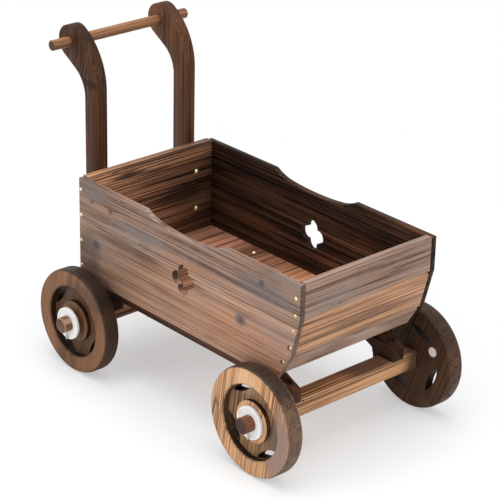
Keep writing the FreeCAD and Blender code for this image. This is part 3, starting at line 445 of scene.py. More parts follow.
class TimberShader:
    """Builds the material of one board from its timber and its cut."""

    WARP = 0.0035
    FINE_WARP = 0.0007
    KNOT_REACH = 1.9
    KNOT_PUSH = 0.85
    FLOW_STRETCH = 0.42
    BOSS_RADIUS = 0.034
    RECESS_RADIUS = 0.060
    TREAD_RADIUS = 0.080
    # Painted shade on the inner walls of a wheel's recess and boss.
    INNER_WALL_PAINTED_SHADE = 0.22
    # Pale pink of rubbed edges, partly a painted edge highlight.
    RUBBED_EDGE_HIGHLIGHT = srgb(205, 172, 152)

    def __init__(self, name: str, timber: Timber, cut: Cut, centre: Vector, half: Vector) -> None:
        """Remember what the board is made of.

        Args:
            name: The board's name.
            timber: Its finish.
            cut: How it was cut.
            centre: The middle of the board, in the part's frame.
            half: Half the size of its box.
        """
        self.graph = Graph(name + "_fir")
        self.half = half
        self.timber = timber
        self.cut = cut
        self.centre = centre

    def axes(self) -> tuple[Value, Value, Value]:
        """Places along the grain, across it and through the board, from the part's frame.

        Returns:
            The three places, in metres from the board's middle.
        """
        graph = self.graph
        place = graph.node("ShaderNodeTexCoord", {}, {}).outputs["Object"]
        place = graph.moved(place, tuple(-self.centre))
        if self.cut.spin:
            turn = graph.node("ShaderNodeVectorRotate", {"rotation_type": "Y_AXIS"},
                              {"Vector": place, "Angle": math.radians(self.cut.spin)})
            place = turn.outputs[0]
        parts = graph.split(place)
        return tuple(parts[index] for index in self.cut.grain.value)

    def end_grain(self) -> Value:
        """1 where the surface faces along the grain, else 0."""
        graph = self.graph
        facing = graph.node("ShaderNodeTexCoord", {}, {}).outputs["Normal"]
        if self.cut.spin:
            turn = graph.node("ShaderNodeVectorRotate", {"rotation_type": "Y_AXIS"},
                              {"Vector": facing, "Angle": math.radians(self.cut.spin)})
            facing = turn.outputs[0]
        return abs(graph.split(facing)[self.cut.grain.value[0]]).smooth(0.55, 0.9)

    def knot_field(self, along: Value, across: Value) -> tuple[Optional[Value], Optional[Value]]:
        """How the knots push the rings aside, and where their dark hearts are.

        Args:
            along: Place along the grain.
            across: Place across it.

        Returns:
            How far the rings are pushed, in metres, and how much of a heart shows.
        """
        push: Optional[Value] = None
        core: Optional[Value] = None
        order = self.cut.grain.value
        for knot in self.cut.knots:
            off_along = along - (knot.along - self.centre[order[0]])
            off_across = across - (knot.across - self.centre[order[1]])
            square = off_across * off_across
            reach = knot.radius * self.KNOT_REACH
            flow = off_along * off_along * self.FLOW_STRETCH ** 2 + square
            bulge = (flow * (-1.0 / reach ** 2)).exp() * (knot.radius * self.KNOT_PUSH)
            round_off = (off_along * off_along * knot.stretch ** 2 + square).root()
            heart = 1.0 - round_off.smooth(knot.radius * 0.25, knot.radius * 1.3)
            push = bulge if push is None else push + bulge
            core = heart if core is None else core.largest(heart)
        return push, core

    def shade(self, along: Value) -> Any:
        """The painted light and shade of each place, with its darker end grain, apart from its grain.

        Args:
            along: Place along the grain.

        Returns:
            A factor for the colour.
        """
        graph, cut = self.graph, self.cut
        end = self.end_grain()
        tone = cut.tone * (1.0 - end * (1.0 - self.timber.end_tone))
        # Painted light and shade: the tone ramps along the grain to the far end's tone.
        if cut.far_end_painted_shading is not None:
            reach = self.half[cut.grain.value[0]]
            tone = tone * (along.smooth(-reach, reach) * (cut.far_end_painted_shading / cut.tone - 1.0) + 1.0)
        # Painted light and shade: the inner face keeps its painted tone, the outer face takes outer_tone.
        if cut.outside:
            normal = graph.node("ShaderNodeTexCoord", {}, {}).outputs["Normal"]
            outer = (graph.split(normal)[cut.grain.value[2]] * cut.outside).smooth(0.3, 0.8)
            tone = tone * (1.0 - outer) + outer * cut.outer_tone
        if cut.grain is Grain.WHEEL:
            x, _, z = graph.split(graph.moved(graph.node("ShaderNodeTexCoord", {}, {}).outputs["Object"],
                                              tuple(-self.centre)))
            radius = (x * x + z * z).root()
            normal = graph.split(graph.node("ShaderNodeTexCoord", {}, {}).outputs["Normal"])[1]
            # Painted shade in the recess: the inner walls and the hollow between boss and recess wall are
            # darkened; the tread takes tread_tone.
            wall = 1.0 - abs(normal).smooth(0.3, 0.9)
            outer = radius.smooth(self.RECESS_RADIUS + 0.002, self.TREAD_RADIUS)
            tread_tone_and_wall_shade = outer * (cut.tread_tone - self.INNER_WALL_PAINTED_SHADE) + self.INNER_WALL_PAINTED_SHADE
            soft = 0.002
            web_painted_shade_mask = radius.smooth(self.BOSS_RADIUS - soft, self.BOSS_RADIUS + soft)
            web_painted_shade_mask = web_painted_shade_mask * (1.0 - radius.smooth(self.RECESS_RADIUS - soft, self.RECESS_RADIUS + soft))
            tone = tone * (1.0 - wall * (1.0 - tread_tone_and_wall_shade)) * (1.0 - web_painted_shade_mask * (1.0 - cut.web_painted_shade))
        return tone

    def edges(self, burn: Value) -> Value:
        """1 on the softened edges where they are rubbed paler and take a painted highlight, else 0.

        Args:
            burn: Noise that breaks the wear up.

        Returns:
            The wear with its painted highlight.
        """
        graph = self.graph
        x, y, z = graph.split(graph.node("ShaderNodeTexCoord", {}, {}).outputs["Normal"])
        flat = abs(x).largest(abs(y)).largest(abs(z))
        return (1.0 - flat.smooth(0.82, 0.97)) * burn.smooth(0.4, 0.6)

    def stained(self, colour: Any, stain: Stain, along: Value, across: Value, burn: Value) -> Any:
        """Lay one stain over a colour.

        Args:
            colour: The colour under it.
            stain: The stain.
            along: Place along the grain.
            across: Place across it.
            burn: Noise that frays its outline.

        Returns:
            The colour with the stain.
        """
        order = self.cut.grain.value
        off_along = (along - (stain.along - self.centre[order[0]])) * (1.0 / stain.reach_along)
        off_across = (across - (stain.across - self.centre[order[1]])) * (1.0 / stain.reach_across)
        inside = ((off_along * off_along + off_across * off_across) * -1.0).exp()
        cover = (inside + (burn - 0.5) * inside * 1.6).smooth(0.12, 0.75)
        return self.graph.mix(cover * stain.strength, colour, stain.colour)

    def build(self) -> Any:
        """Make the material.

        Returns:
            The board's material.
        """
        graph, timber, cut = self.graph, self.timber, self.cut
        along, across, deep = self.axes()
        seed = cut.seed
        slow = graph.noise(graph.vector(along * 2.2 + seed, across * 7.0, deep * 7.0 + seed), 1.0)
        quick = graph.noise(graph.vector(along * 16.0, across * 70.0 + seed, deep * 70.0), 2.0)
        warp = (slow - 0.5) * (2 * self.WARP) + (quick - 0.5) * (2 * self.FINE_WARP)
        out = across + cut.pith_across + warp
        down = deep + cut.pith_deep + warp
        radius = (out * out + down * down).root()
        spacing = graph.noise(graph.vector(radius * 55.0 + seed, seed, 0.5), 2.0)
        turns = radius / timber.pitch + spacing * 1.6
        push, core = self.knot_field(along, across)
        if push is not None:
            turns = turns + push / timber.pitch
        saw = turns.fraction()
        late = saw.smooth(0.2, 0.8) * (1.0 - saw.smooth(0.84, 1.0))
        weight = graph.noise(graph.vector(radius * 60.0, seed + 4.0, along * 1.3), 2.0).smooth(0.35, 0.65)
        band = graph.noise(graph.vector(turns * 0.42, seed, along * 0.9), 4.0, 0.68).smooth(0.4, 0.62)
        ring = late * (weight * 0.5 + 0.1) + band * timber.banding

        fibre = graph.noise(graph.vector(along * 22.0, across * 1100.0, deep * 1100.0), 2.0, 0.6)
        streak = graph.noise(graph.vector(along * 2.2 + seed, across * 48.0, deep * 48.0), 3.0, 0.6)
        burn = graph.noise(graph.vector(along * 7.0, across * 13.0 + seed, deep * 13.0), 3.0, 0.55)
        check = abs(graph.noise(graph.vector(along * 5.0 + seed, across * 75.0, deep * 75.0), 1.0) - 0.5)
        where = graph.noise(graph.vector(along * 9.0, across * 20.0 + seed, deep * 20.0), 0.0)
        check = (1.0 - check.smooth(0.002, 0.009)) * where.smooth(0.56, 0.66)

        line = graph.noise(graph.vector(along * 3.5 + seed, across * 300.0, deep * 300.0), 2.0, 0.65)
        dark = ring * timber.contrast + (fibre.smooth(0.35, 0.75) - 0.5) * 0.22
        dark = dark + (line.smooth(0.4, 0.62) - 0.4) * timber.lines
        colour = graph.mix(dark, timber.light, timber.dark)
        scorched = (streak.smooth(0.4, 0.64) * 0.6 + burn.smooth(0.42, 0.66) * 0.45) * timber.scorch
        colour = graph.mix(scorched, colour, timber.char)
        if timber.hazy:
            cloud = graph.noise(graph.vector(along * 12.0, across * 22.0, seed), 3.0, 0.6)
            colour = graph.mix(cloud.smooth(0.46, 0.66) * timber.hazy, colour, timber.haze)
        colour = graph.mix(check * 0.75, colour, timber.char)
        for stain in cut.stains:
            colour = self.stained(colour, stain, along, across, burn)
        if core is not None:
            colour = graph.mix(core * 0.6, colour, timber.char)
        # Rubbed edges with a painted highlight: the softened edges turn pale pink.
        if timber.edge_wear_and_highlight:
            colour = graph.mix(self.edges(burn) * timber.edge_wear_and_highlight, colour, self.RUBBED_EDGE_HIGHLIGHT)
        # Painted light and shade from shade() scale the colour, broken up by the burn noise.
        colour = graph.scaled(colour, self.shade(along) * (burn * 0.5 + 0.75))

        height = (1.0 - ring) * -0.7 + fibre * 0.35 - check * 1.6
        graph.bump(height, 0.42, 0.0007)
        rough = timber.rough + ring * 0.08 + (fibre - 0.5) * 0.16 + scorched * 0.08
        return graph.finish(Base_Color=colour, Roughness=rough, Specular_IOR_Level=timber.gloss)


# ---------------------------------------------------------------------------
# Pieces
# ---------------------------------------------------------------------------
@dataclass
class Workshop:
    """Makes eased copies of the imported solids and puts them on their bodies.

    Attributes:
        arris: Radius that softens the edges of the boards, in metres.
        sharp: Angle between faces from which an edge is softened, in degrees.
    """

    frame: dict[str, Any]
    arris: float = 0.0007
    sharp: float = 34.0
    bodies: dict[str, str] = field(default_factory=dict)
    slots: dict[str, str] = field(default_factory=dict)

    def __post_init__(self) -> None:
        """Look up each node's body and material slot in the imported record."""
        record = self.frame["record"]
        for body, nodes in record["behaviour"]["bodies"].items():
            for node in nodes:
                self.bodies[node] = body
        for row in record["subparts"]:
            self.slots[row["node"]] = row["material_slot"]

    def eased(self, node: str) -> Any:
        """A copy of a wooden solid with its edges softened, standing for the solid.

        Args:
            node: The solid's name.

        Returns:
            The new object.
        """
        mesh = self.frame["nodes"][node].data.copy()
        mesh.materials.clear()
        work = bmesh.new()
        work.from_mesh(mesh)
        bmesh.ops.remove_doubles(work, verts=work.verts, dist=2e-6)
        bmesh.ops.dissolve_limit(work, angle_limit=math.radians(0.4), verts=work.verts,
                                 edges=work.edges, use_dissolve_boundaries=False)
        limit = math.radians(self.sharp)
        edges = [edge for edge in work.edges
                 if len(edge.link_faces) == 2 and edge.calc_face_angle(0.0) > limit
                 and edge.calc_length() > 4 * self.arris]
        if edges:
            bmesh.ops.bevel(work, geom=edges, offset=self.arris, offset_type="OFFSET", segments=2,
                            profile=0.5, affect="EDGES", clamp_overlap=False)
        for face in work.faces:
            face.smooth = True
        for edge in work.edges:
            edge.smooth = len(edge.link_faces) == 2 and edge.calc_face_angle(0.0) < limit
        work.to_mesh(mesh)
        work.free()
        return self.placed(node, mesh)

    def rimmed(self, node: str, radius: float, rounding: float) -> Any:
        """A copy of a wheel with the edges of its rim rounded, standing for the solid.

        Args:
            node: The solid's name.
            radius: The wheel's radius.
            rounding: How much its edges are rounded.

        Returns:
            The new object.
        """
        low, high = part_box(node)
        middle = (low + high) / 2
        mesh = self.frame["nodes"][node].data.copy()
        mesh.materials.clear()
        work = bmesh.new()
        work.from_mesh(mesh)
        bmesh.ops.remove_doubles(work, verts=work.verts, dist=2e-6)

        def on_rim(vertex: Any) -> bool:
            """Whether a corner lies on the rim."""
            return math.hypot(vertex.co.x - middle.x, vertex.co.z - middle.z) > 0.99 * radius

        limit = math.radians(self.sharp)
        edges = [edge for edge in work.edges
                 if edge.calc_face_angle(0.0) > limit and all(on_rim(end) for end in edge.verts)]
        bmesh.ops.bevel(work, geom=edges, offset=rounding, offset_type="OFFSET", segments=5,
                        profile=0.5, affect="EDGES", clamp_overlap=False)
        for face in work.faces:
            face.smooth = True
        for edge in work.edges:
            edge.smooth = len(edge.link_faces) == 2 and edge.calc_face_angle(0.0) < limit
        work.to_mesh(mesh)
        work.free()
        return self.placed(node, mesh)

    def placed(self, node: str, mesh: Any, ending: str = "_timber") -> Any:
        """Put a mesh in the scene in place of a solid, on the solid's body.

        Args:
            node: The solid's name.
            mesh: The mesh that stands for it.
            ending: What the new piece's name ends in.

        Returns:
            The new object.
        """
        piece = bpy.data.objects.new(node + ending, mesh)
        bpy.context.scene.collection.objects.link(piece)
        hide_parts(node)
        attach(piece, self.bodies[node])
        return piece

    def board(self, node: str, timber: Timber, cut: Cut) -> None:
        """Make one wooden piece.

        Args:
            node: The solid's name.
            timber: Its finish.
            cut: How it was cut.
        """
        piece = self.eased(node)
        piece.data.materials.append(self.fir(node, timber, cut))
        LOG.info("%s: %d faces", node, len(piece.data.polygons))

    def fir(self, node: str, timber: Timber, cut: Cut) -> Any:
        """The timber finish of one node.

        Args:
            node: The solid's name.
            timber: Its finish.
            cut: How it was cut.

        Returns:
            The material.
        """
        low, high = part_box(node)
        return TimberShader(node, timber, cut, (low + high) / 2, (high - low) / 2).build()

    def dress(self, node: str, material: Any) -> None:
        """Give a solid that stays a new material.

        Args:
            node: The solid's name.
            material: The material.
        """
        solid = self.frame["nodes"][node]
        solid.data.materials.clear()
        solid.data.materials.append(material)
        LOG.info("%s: dressed", node)


GREY_FIR = Timber(srgb(184, 148, 126), srgb(86, 58, 46), srgb(44, 33, 30), scorch=0.5, contrast=0.9,
                  end_tone=0.36, hazy=0.4, banding=0.4, lines=0.75, edge_wear_and_highlight=0.7)
BROWN_FIR = Timber(srgb(186, 144, 116), srgb(92, 60, 45), srgb(48, 33, 27), scorch=0.45, contrast=0.75,
                   end_tone=0.36, hazy=0.3, banding=0.3, lines=0.65, edge_wear_and_highlight=0.7)
RIDGED_FIR = Timber(srgb(150, 104, 78), srgb(30, 17, 12), srgb(14, 9, 7), pitch=0.0040, scorch=0.75,
                    contrast=1.25, gloss=0.1, lines=0.9)
CHARRED_TAN_FIR = Timber(srgb(190, 138, 104), srgb(44, 27, 20), srgb(20, 13, 10), pitch=0.0040, scorch=0.5,
                         contrast=1.1, gloss=0.1, lines=0.95)
TAN_FIR = Timber(srgb(198, 148, 110), srgb(70, 43, 29), srgb(38, 24, 18), pitch=0.0046, scorch=0.5,
                 contrast=1.05, banding=0.5, lines=0.8, edge_wear_and_highlight=0.5)
FLOOR_FIR = Timber(srgb(192, 134, 104), srgb(90, 54, 39), srgb(46, 28, 22), pitch=0.0048, scorch=0.6,
                   contrast=1.0, gloss=0.15)
# A lit copy of FLOOR_FIR: painted light for the floor boards that the light falls on.
LIT_FLOOR_FIR = Timber(srgb(232, 166, 124), srgb(126, 76, 50), srgb(56, 34, 26), pitch=0.0048, scorch=0.35,
                       contrast=0.9, gloss=0.2)
POST_FIR = Timber(srgb(118, 78, 52), srgb(56, 34, 23), srgb(24, 16, 12), pitch=0.0046, scorch=0.55,
                  contrast=0.95, gloss=0.12, banding=0.4, lines=0.6)
BAR_FIR = Timber(srgb(184, 132, 92), srgb(92, 60, 40), srgb(44, 29, 21), pitch=0.003, scorch=0.45,
                 end_tone=0.22)
DARK_FIR = Timber(srgb(104, 68, 48), srgb(40, 24, 17), srgb(17, 11, 9), pitch=0.004, scorch=0.7, gloss=0.12)
SMOOTH_FIR = Timber(srgb(200, 138, 92), srgb(116, 72, 45), srgb(44, 27, 19), pitch=0.0038, scorch=0.55,
                    contrast=0.5, banding=0.4, lines=0.3)
EMBER_FIR = Timber(srgb(196, 134, 86), srgb(92, 53, 31), srgb(38, 23, 16), pitch=0.0038, scorch=0.5,
                   contrast=0.85, banding=0.4, lines=0.8)
PALE_FIR = Timber(srgb(224, 172, 124), srgb(124, 78, 48), srgb(62, 41, 30), pitch=0.0038, scorch=0.3,
                  contrast=0.85, end_tone=0.22, banding=0.4, lines=0.85)

SOOT = srgb(30, 22, 19)
SLATE = srgb(112, 106, 108)
EMBER = srgb(172, 118, 84)
UMBER = srgb(70, 48, 38)
# Greyish rose for part of the near front wheel's face: painted shade.
ROSE_PAINTED_SHADE = srgb(142, 116, 108)
CREAM = srgb(226, 186, 140)
RUST = srgb(118, 74, 50)


@dataclass
class PlanterBox:
    """The open box: its sides, ends, floor and the rails under it.

    Attributes:
        shop: The workshop.
        side_height_middle: Height of the middle of a side, for its heart of the log; not used.
    """

    shop: Workshop
    side_height_middle: float = 0.23

    def sides(self) -> None:
        """Four side boards, grain along the cart."""
        near_upper = (Knot(0.2095, 0.2925, 0.006), Knot(-0.147, 0.285, 0.006), Knot(-0.194, 0.286, 0.004))
        near_lower = (Knot(-0.185, 0.2145, 0.009), Knot(0.165, 0.216, 0.009))
        cuts = {
            "right_side_upper_board": (GREY_FIR, Cut(
                Grain.ALONG_CART, 0.82, 0.24, 0.03, 3.1, near_upper, far_end_painted_shading=0.88, stains=(
                    Stain(-0.195, 0.303, 0.05, 0.014, SLATE, 0.5),
                    Stain(-0.07, 0.272, 0.07, 0.012, SLATE, 0.4),
                    Stain(0.205, 0.283, 0.06, 0.018, SLATE, 0.5),
                    Stain(0.05, 0.262, 0.09, 0.010, EMBER, 0.35)))),
            "right_side_lower_board": (BROWN_FIR, Cut(
                Grain.ALONG_CART, 0.8, 0.3, 0.03, 8.7, near_lower, far_end_painted_shading=1.15, stains=(
                    Stain(0.12, 0.195, 0.15, 0.032, EMBER, 0.4),
                    Stain(-0.12, 0.238, 0.1, 0.008, UMBER, 0.6),
                    Stain(-0.205, 0.19, 0.03, 0.05, UMBER, 0.5),
                    Stain(-0.185, 0.2145, 0.014, 0.012, SLATE, 0.6),
                    Stain(0.165, 0.216, 0.014, 0.012, SLATE, 0.6)))),
            # The far side's inner faces: painted shade in tone 0.2 and 0.24, ramping darker along the board;
            # the outer faces keep outer_tone.
            "left_side_upper_board": (RIDGED_FIR, Cut(
                Grain.ALONG_CART, 0.2, -0.2, 0.05, 5.3, far_end_painted_shading=0.45, outside=1.0, outer_tone=1.25, stains=(
                    Stain(-0.1, 0.27, 0.08, 0.012, EMBER, 0.3),))),
            "left_side_lower_board": (RIDGED_FIR, Cut(
                Grain.ALONG_CART, 0.24, -0.2, 0.05, 1.9, far_end_painted_shading=0.5, outside=1.0, outer_tone=1.35, stains=(
                    Stain(-0.12, 0.21, 0.09, 0.012, EMBER, 0.45),))),
        }
        for node, (timber, cut) in cuts.items():
            self.shop.board(node, timber, cut)

    def ends(self) -> None:
        """Two rear boards and three front boards, grain across the cart."""
        smear = (Knot(-0.05, 0.301, 0.0045, 0.2),)
        smeared = (Stain(-0.05, 0.3015, 0.04, 0.005, SOOT, 0.8), Stain(0.01, 0.296, 0.03, 0.003, SOOT, 0.6))
        cuts = {
            # The rear boards' inner faces: painted light in tone 1.45, with painted shade ramping towards the
            # far corner; the outer faces keep outer_tone.
            "rear_lower_board": (CHARRED_TAN_FIR, Cut(
                Grain.ACROSS_CART, 1.45, 0.25, 0.03, 2.2, far_end_painted_shading=0.3, outside=-1.0, outer_tone=0.8, stains=(
                    Stain(0.06, 0.235, 0.05, 0.02, SOOT, 0.6),))),
            "rear_upper_board": (TAN_FIR, Cut(
                Grain.ACROSS_CART, 1.45, 0.2, 0.03, 6.4, smear, far_end_painted_shading=0.6, outside=-1.0,
                outer_tone=0.8, stains=smeared)),
            "front_upper_board": (GREY_FIR, Cut(Grain.ACROSS_CART, 0.8, 0.25, 0.03, 7.7)),
            "front_middle_board": (TAN_FIR, Cut(
                Grain.ACROSS_CART, 1.12, 0.25, 0.04, 4.6, stains=(
                    Stain(0.02, 0.222, 0.1, 0.010, UMBER, 0.4),))),
            "front_lower_board": (GREY_FIR, Cut(Grain.ACROSS_CART, 0.85, 0.2, 0.04, 9.9)),
        }
        for node, (timber, cut) in cuts.items():
            self.shop.board(node, timber, cut)

    def floor(self) -> None:
        """Six floor boards across the cart on two rails."""
        # Painted light: each floor board's tone lightens it, and the last three use LIT_FLOOR_FIR.
        tones = (1.45, 1.05, 1.1, 1.2, 1.3, 1.3)
        for index, tone in enumerate(tones):
            cut = Cut(Grain.ACROSS_FLAT, tone, 0.09 + 0.02 * index, 0.04, 1.3 * index)
            timber = LIT_FLOOR_FIR if index > 2 else FLOOR_FIR
            self.shop.board("floor_board_%d" % (index + 1), timber, cut)
        for index, side in enumerate(("right", "left")):
            self.shop.board(side + "_floor_rail", DARK_FIR, Cut(Grain.ALONG_CART, 0.9, 0.05, 0.06, 4.4 * index))

    def build(self) -> None:
        """Make every board of the box."""
        self.sides()
        self.ends()
        self.floor()


@dataclass
class Handle:
    """The two bent posts and the push bar.

    Attributes:
        shop: The workshop.
        knot_height: Height of the knot in the near post.
        knot_across: Its place across the cart.
    """

    shop: Workshop
    knot_height: float = 0.462
    knot_across: float = -0.104

    def build(self) -> None:
        """Make the posts and the bar."""
        knot = (Knot(self.knot_height, self.knot_across, 0.006),)
        self.shop.board("right_handle_post", POST_FIR, Cut(Grain.UPRIGHT, 0.62, 0.12, 0.05, 2.9, knot))
        self.shop.board("left_handle_post", POST_FIR, Cut(Grain.UPRIGHT, 0.92, 0.1, 0.04, 7.2))
        # Dark patches where the bar enters the posts: partly scorch, partly painted shade between the parts.
        scorched = tuple(Stain(side * 0.0915, -0.298, 0.015, 0.05, UMBER, 0.75) for side in (-1, 1))
        self.shop.board("handle_bar", BAR_FIR, Cut(Grain.ACROSS_FLAT, 1.1, 0.012, 0.02, 5.5, stains=scorched))


@dataclass
class Undercarriage:
    """The axle beams, the arms that carry the box on them, and the wheels.

    Attributes:
        shop: The workshop.
        wheel_radius: Radius of a wheel, in metres.
        rim_rounding: Rounding of a wheel's outer edges.
    """

    shop: Workshop
    wheel_radius: float = 0.0875
    rim_rounding: float = 0.0032

    def beams(self) -> None:
        """The two axle beams and the four arms."""
        front = Cut(Grain.ACROSS_CART, 0.95, 0.05, 0.03, 3.6, stains=(
            Stain(-0.192, 0.0875, 0.014, 0.05, RUST, 0.9),
            Stain(0.160, 0.0875, 0.030, 0.05, UMBER, 0.8),
            Stain(0.060, 0.1010, 0.050, 0.003, UMBER, 0.7)))
        self.shop.board("front_axle_beam", PALE_FIR, front)
        self.shop.board("rear_axle_beam", TAN_FIR, Cut(
            Grain.ACROSS_CART, 0.85, 0.05, 0.04, 8.1, stains=(Stain(-0.192, 0.0875, 0.014, 0.05, RUST, 0.9),)))
        for index, node in enumerate(("rear_right_arm", "rear_left_arm", "front_right_arm", "front_left_arm")):
            self.shop.board(node, DARK_FIR, Cut(Grain.ALONG_CART, 0.9, 0.04, 0.05, 2.1 * index))

    def wheels(self) -> None:
        """Four wheels, each turned from a flat board with its own lie of the grain."""
        cuts = {
            "front_right_wheel": (PALE_FIR, Cut(
                Grain.WHEEL, 1.0, 0.3, 0.04, 1.2, spin=-8.0, tread_tone=0.3, web_painted_shade=0.5, stains=(
                    # Painted shade: a greyish rose patch on the wheel's face.
                    Stain(0.085, 0.300, 0.060, 0.026, ROSE_PAINTED_SHADE, 0.9),
                    Stain(0.100, 0.292, 0.030, 0.0011, SOOT, 0.8),
                    Stain(0.150, 0.215, 0.030, 0.020, CREAM, 0.6)))),
            # The far wheel: tone 0.2 is painted shade for its place on the shaded far side.
            "front_left_wheel": (EMBER_FIR, Cut(
                Grain.WHEEL, 0.2, 0.3, 0.05, 4.9, spin=-20.0, tread_tone=1.0, stains=(
                    Stain(0.030, 0.300, 0.02, 0.020, CREAM, 0.5),))),
            "rear_right_wheel": (SMOOTH_FIR, Cut(
                Grain.WHEEL, 0.48, 0.3, 0.05, 6.8, spin=-10.0, tread_tone=0.22, web_painted_shade=0.5, stains=(
                    Stain(0.085, -0.255, 0.04, 0.014, EMBER, 0.5),
                    Stain(0.150, -0.170, 0.02, 0.040, SOOT, 0.4)))),
            "rear_left_wheel": (TAN_FIR, Cut(
                Grain.WHEEL, 0.6, 0.3, 0.05, 9.4, spin=35.0, tread_tone=0.4, web_painted_shade=0.5)),
        }
        for node, (timber, cut) in cuts.items():
            wheel = self.shop.rimmed(node, self.wheel_radius, self.rim_rounding)
            wheel.data.materials.append(self.shop.fir(node, timber, cut))

    def build(self) -> None:
        """Make the beams, the arms and the wheels."""
        self.beams()
        self.wheels()


@dataclass(frozen=True)
class MetalFinish:
    """A plated or bright metal.

    Attributes:
        name: The material's name.
        bright: Its clean colour.
        dull: Its tarnished colour.
        rough: Its roughness.
    """

    name: str
    bright: Rgb
    dull: Rgb
    rough: float

    def build(self) -> Any:
        """Make the material."""
        graph = Graph(self.name)
        place = graph.node("ShaderNodeTexCoord", {}, {}).outputs["Object"]
        x, y, z = graph.split(place)
        cloud = graph.noise(graph.vector(x * 260.0, y * 260.0, z * 260.0), 3.0)
        scratch = graph.noise(graph.vector(x * 2200.0, y * 500.0, z * 2200.0), 2.0)
        stain = cloud.smooth(0.45, 0.72)
        colour = graph.mix(stain, self.bright, self.dull)
        graph.bump(scratch, 0.15, 0.0001)
        rough = stain * 0.22 + scratch * 0.12 + (self.rough - 0.06)
        return graph.finish(Base_Color=colour, Roughness=rough, Metallic=1.0)


@dataclass(frozen=True)
class PlasticFinish:
    """A moulded plastic.

    Attributes:
        name: The material's name.
        colour: Its colour.
        grime: The colour of the dust on it.
        rough: Its roughness.
    """

    name: str
    colour: Rgb
    grime: Rgb
    rough: float

    def build(self) -> Any:
        """Make the material."""
        graph = Graph(self.name)
        place = graph.node("ShaderNodeTexCoord", {}, {}).outputs["Object"]
        x, y, z = graph.split(place)
        dust = graph.noise(graph.vector(x * 90.0, y * 90.0, z * 90.0), 4.0, 0.6)
        orange = graph.noise(graph.vector(x * 1500.0, y * 1500.0, z * 1500.0), 1.0)
        colour = graph.mix(dust.smooth(0.55, 0.85) * 0.35, self.colour, self.grime)
        graph.bump(orange, 0.1, 0.0001)
        return graph.finish(Base_Color=colour, Roughness=dust * 0.18 + self.rough, Specular_IOR_Level=0.5)


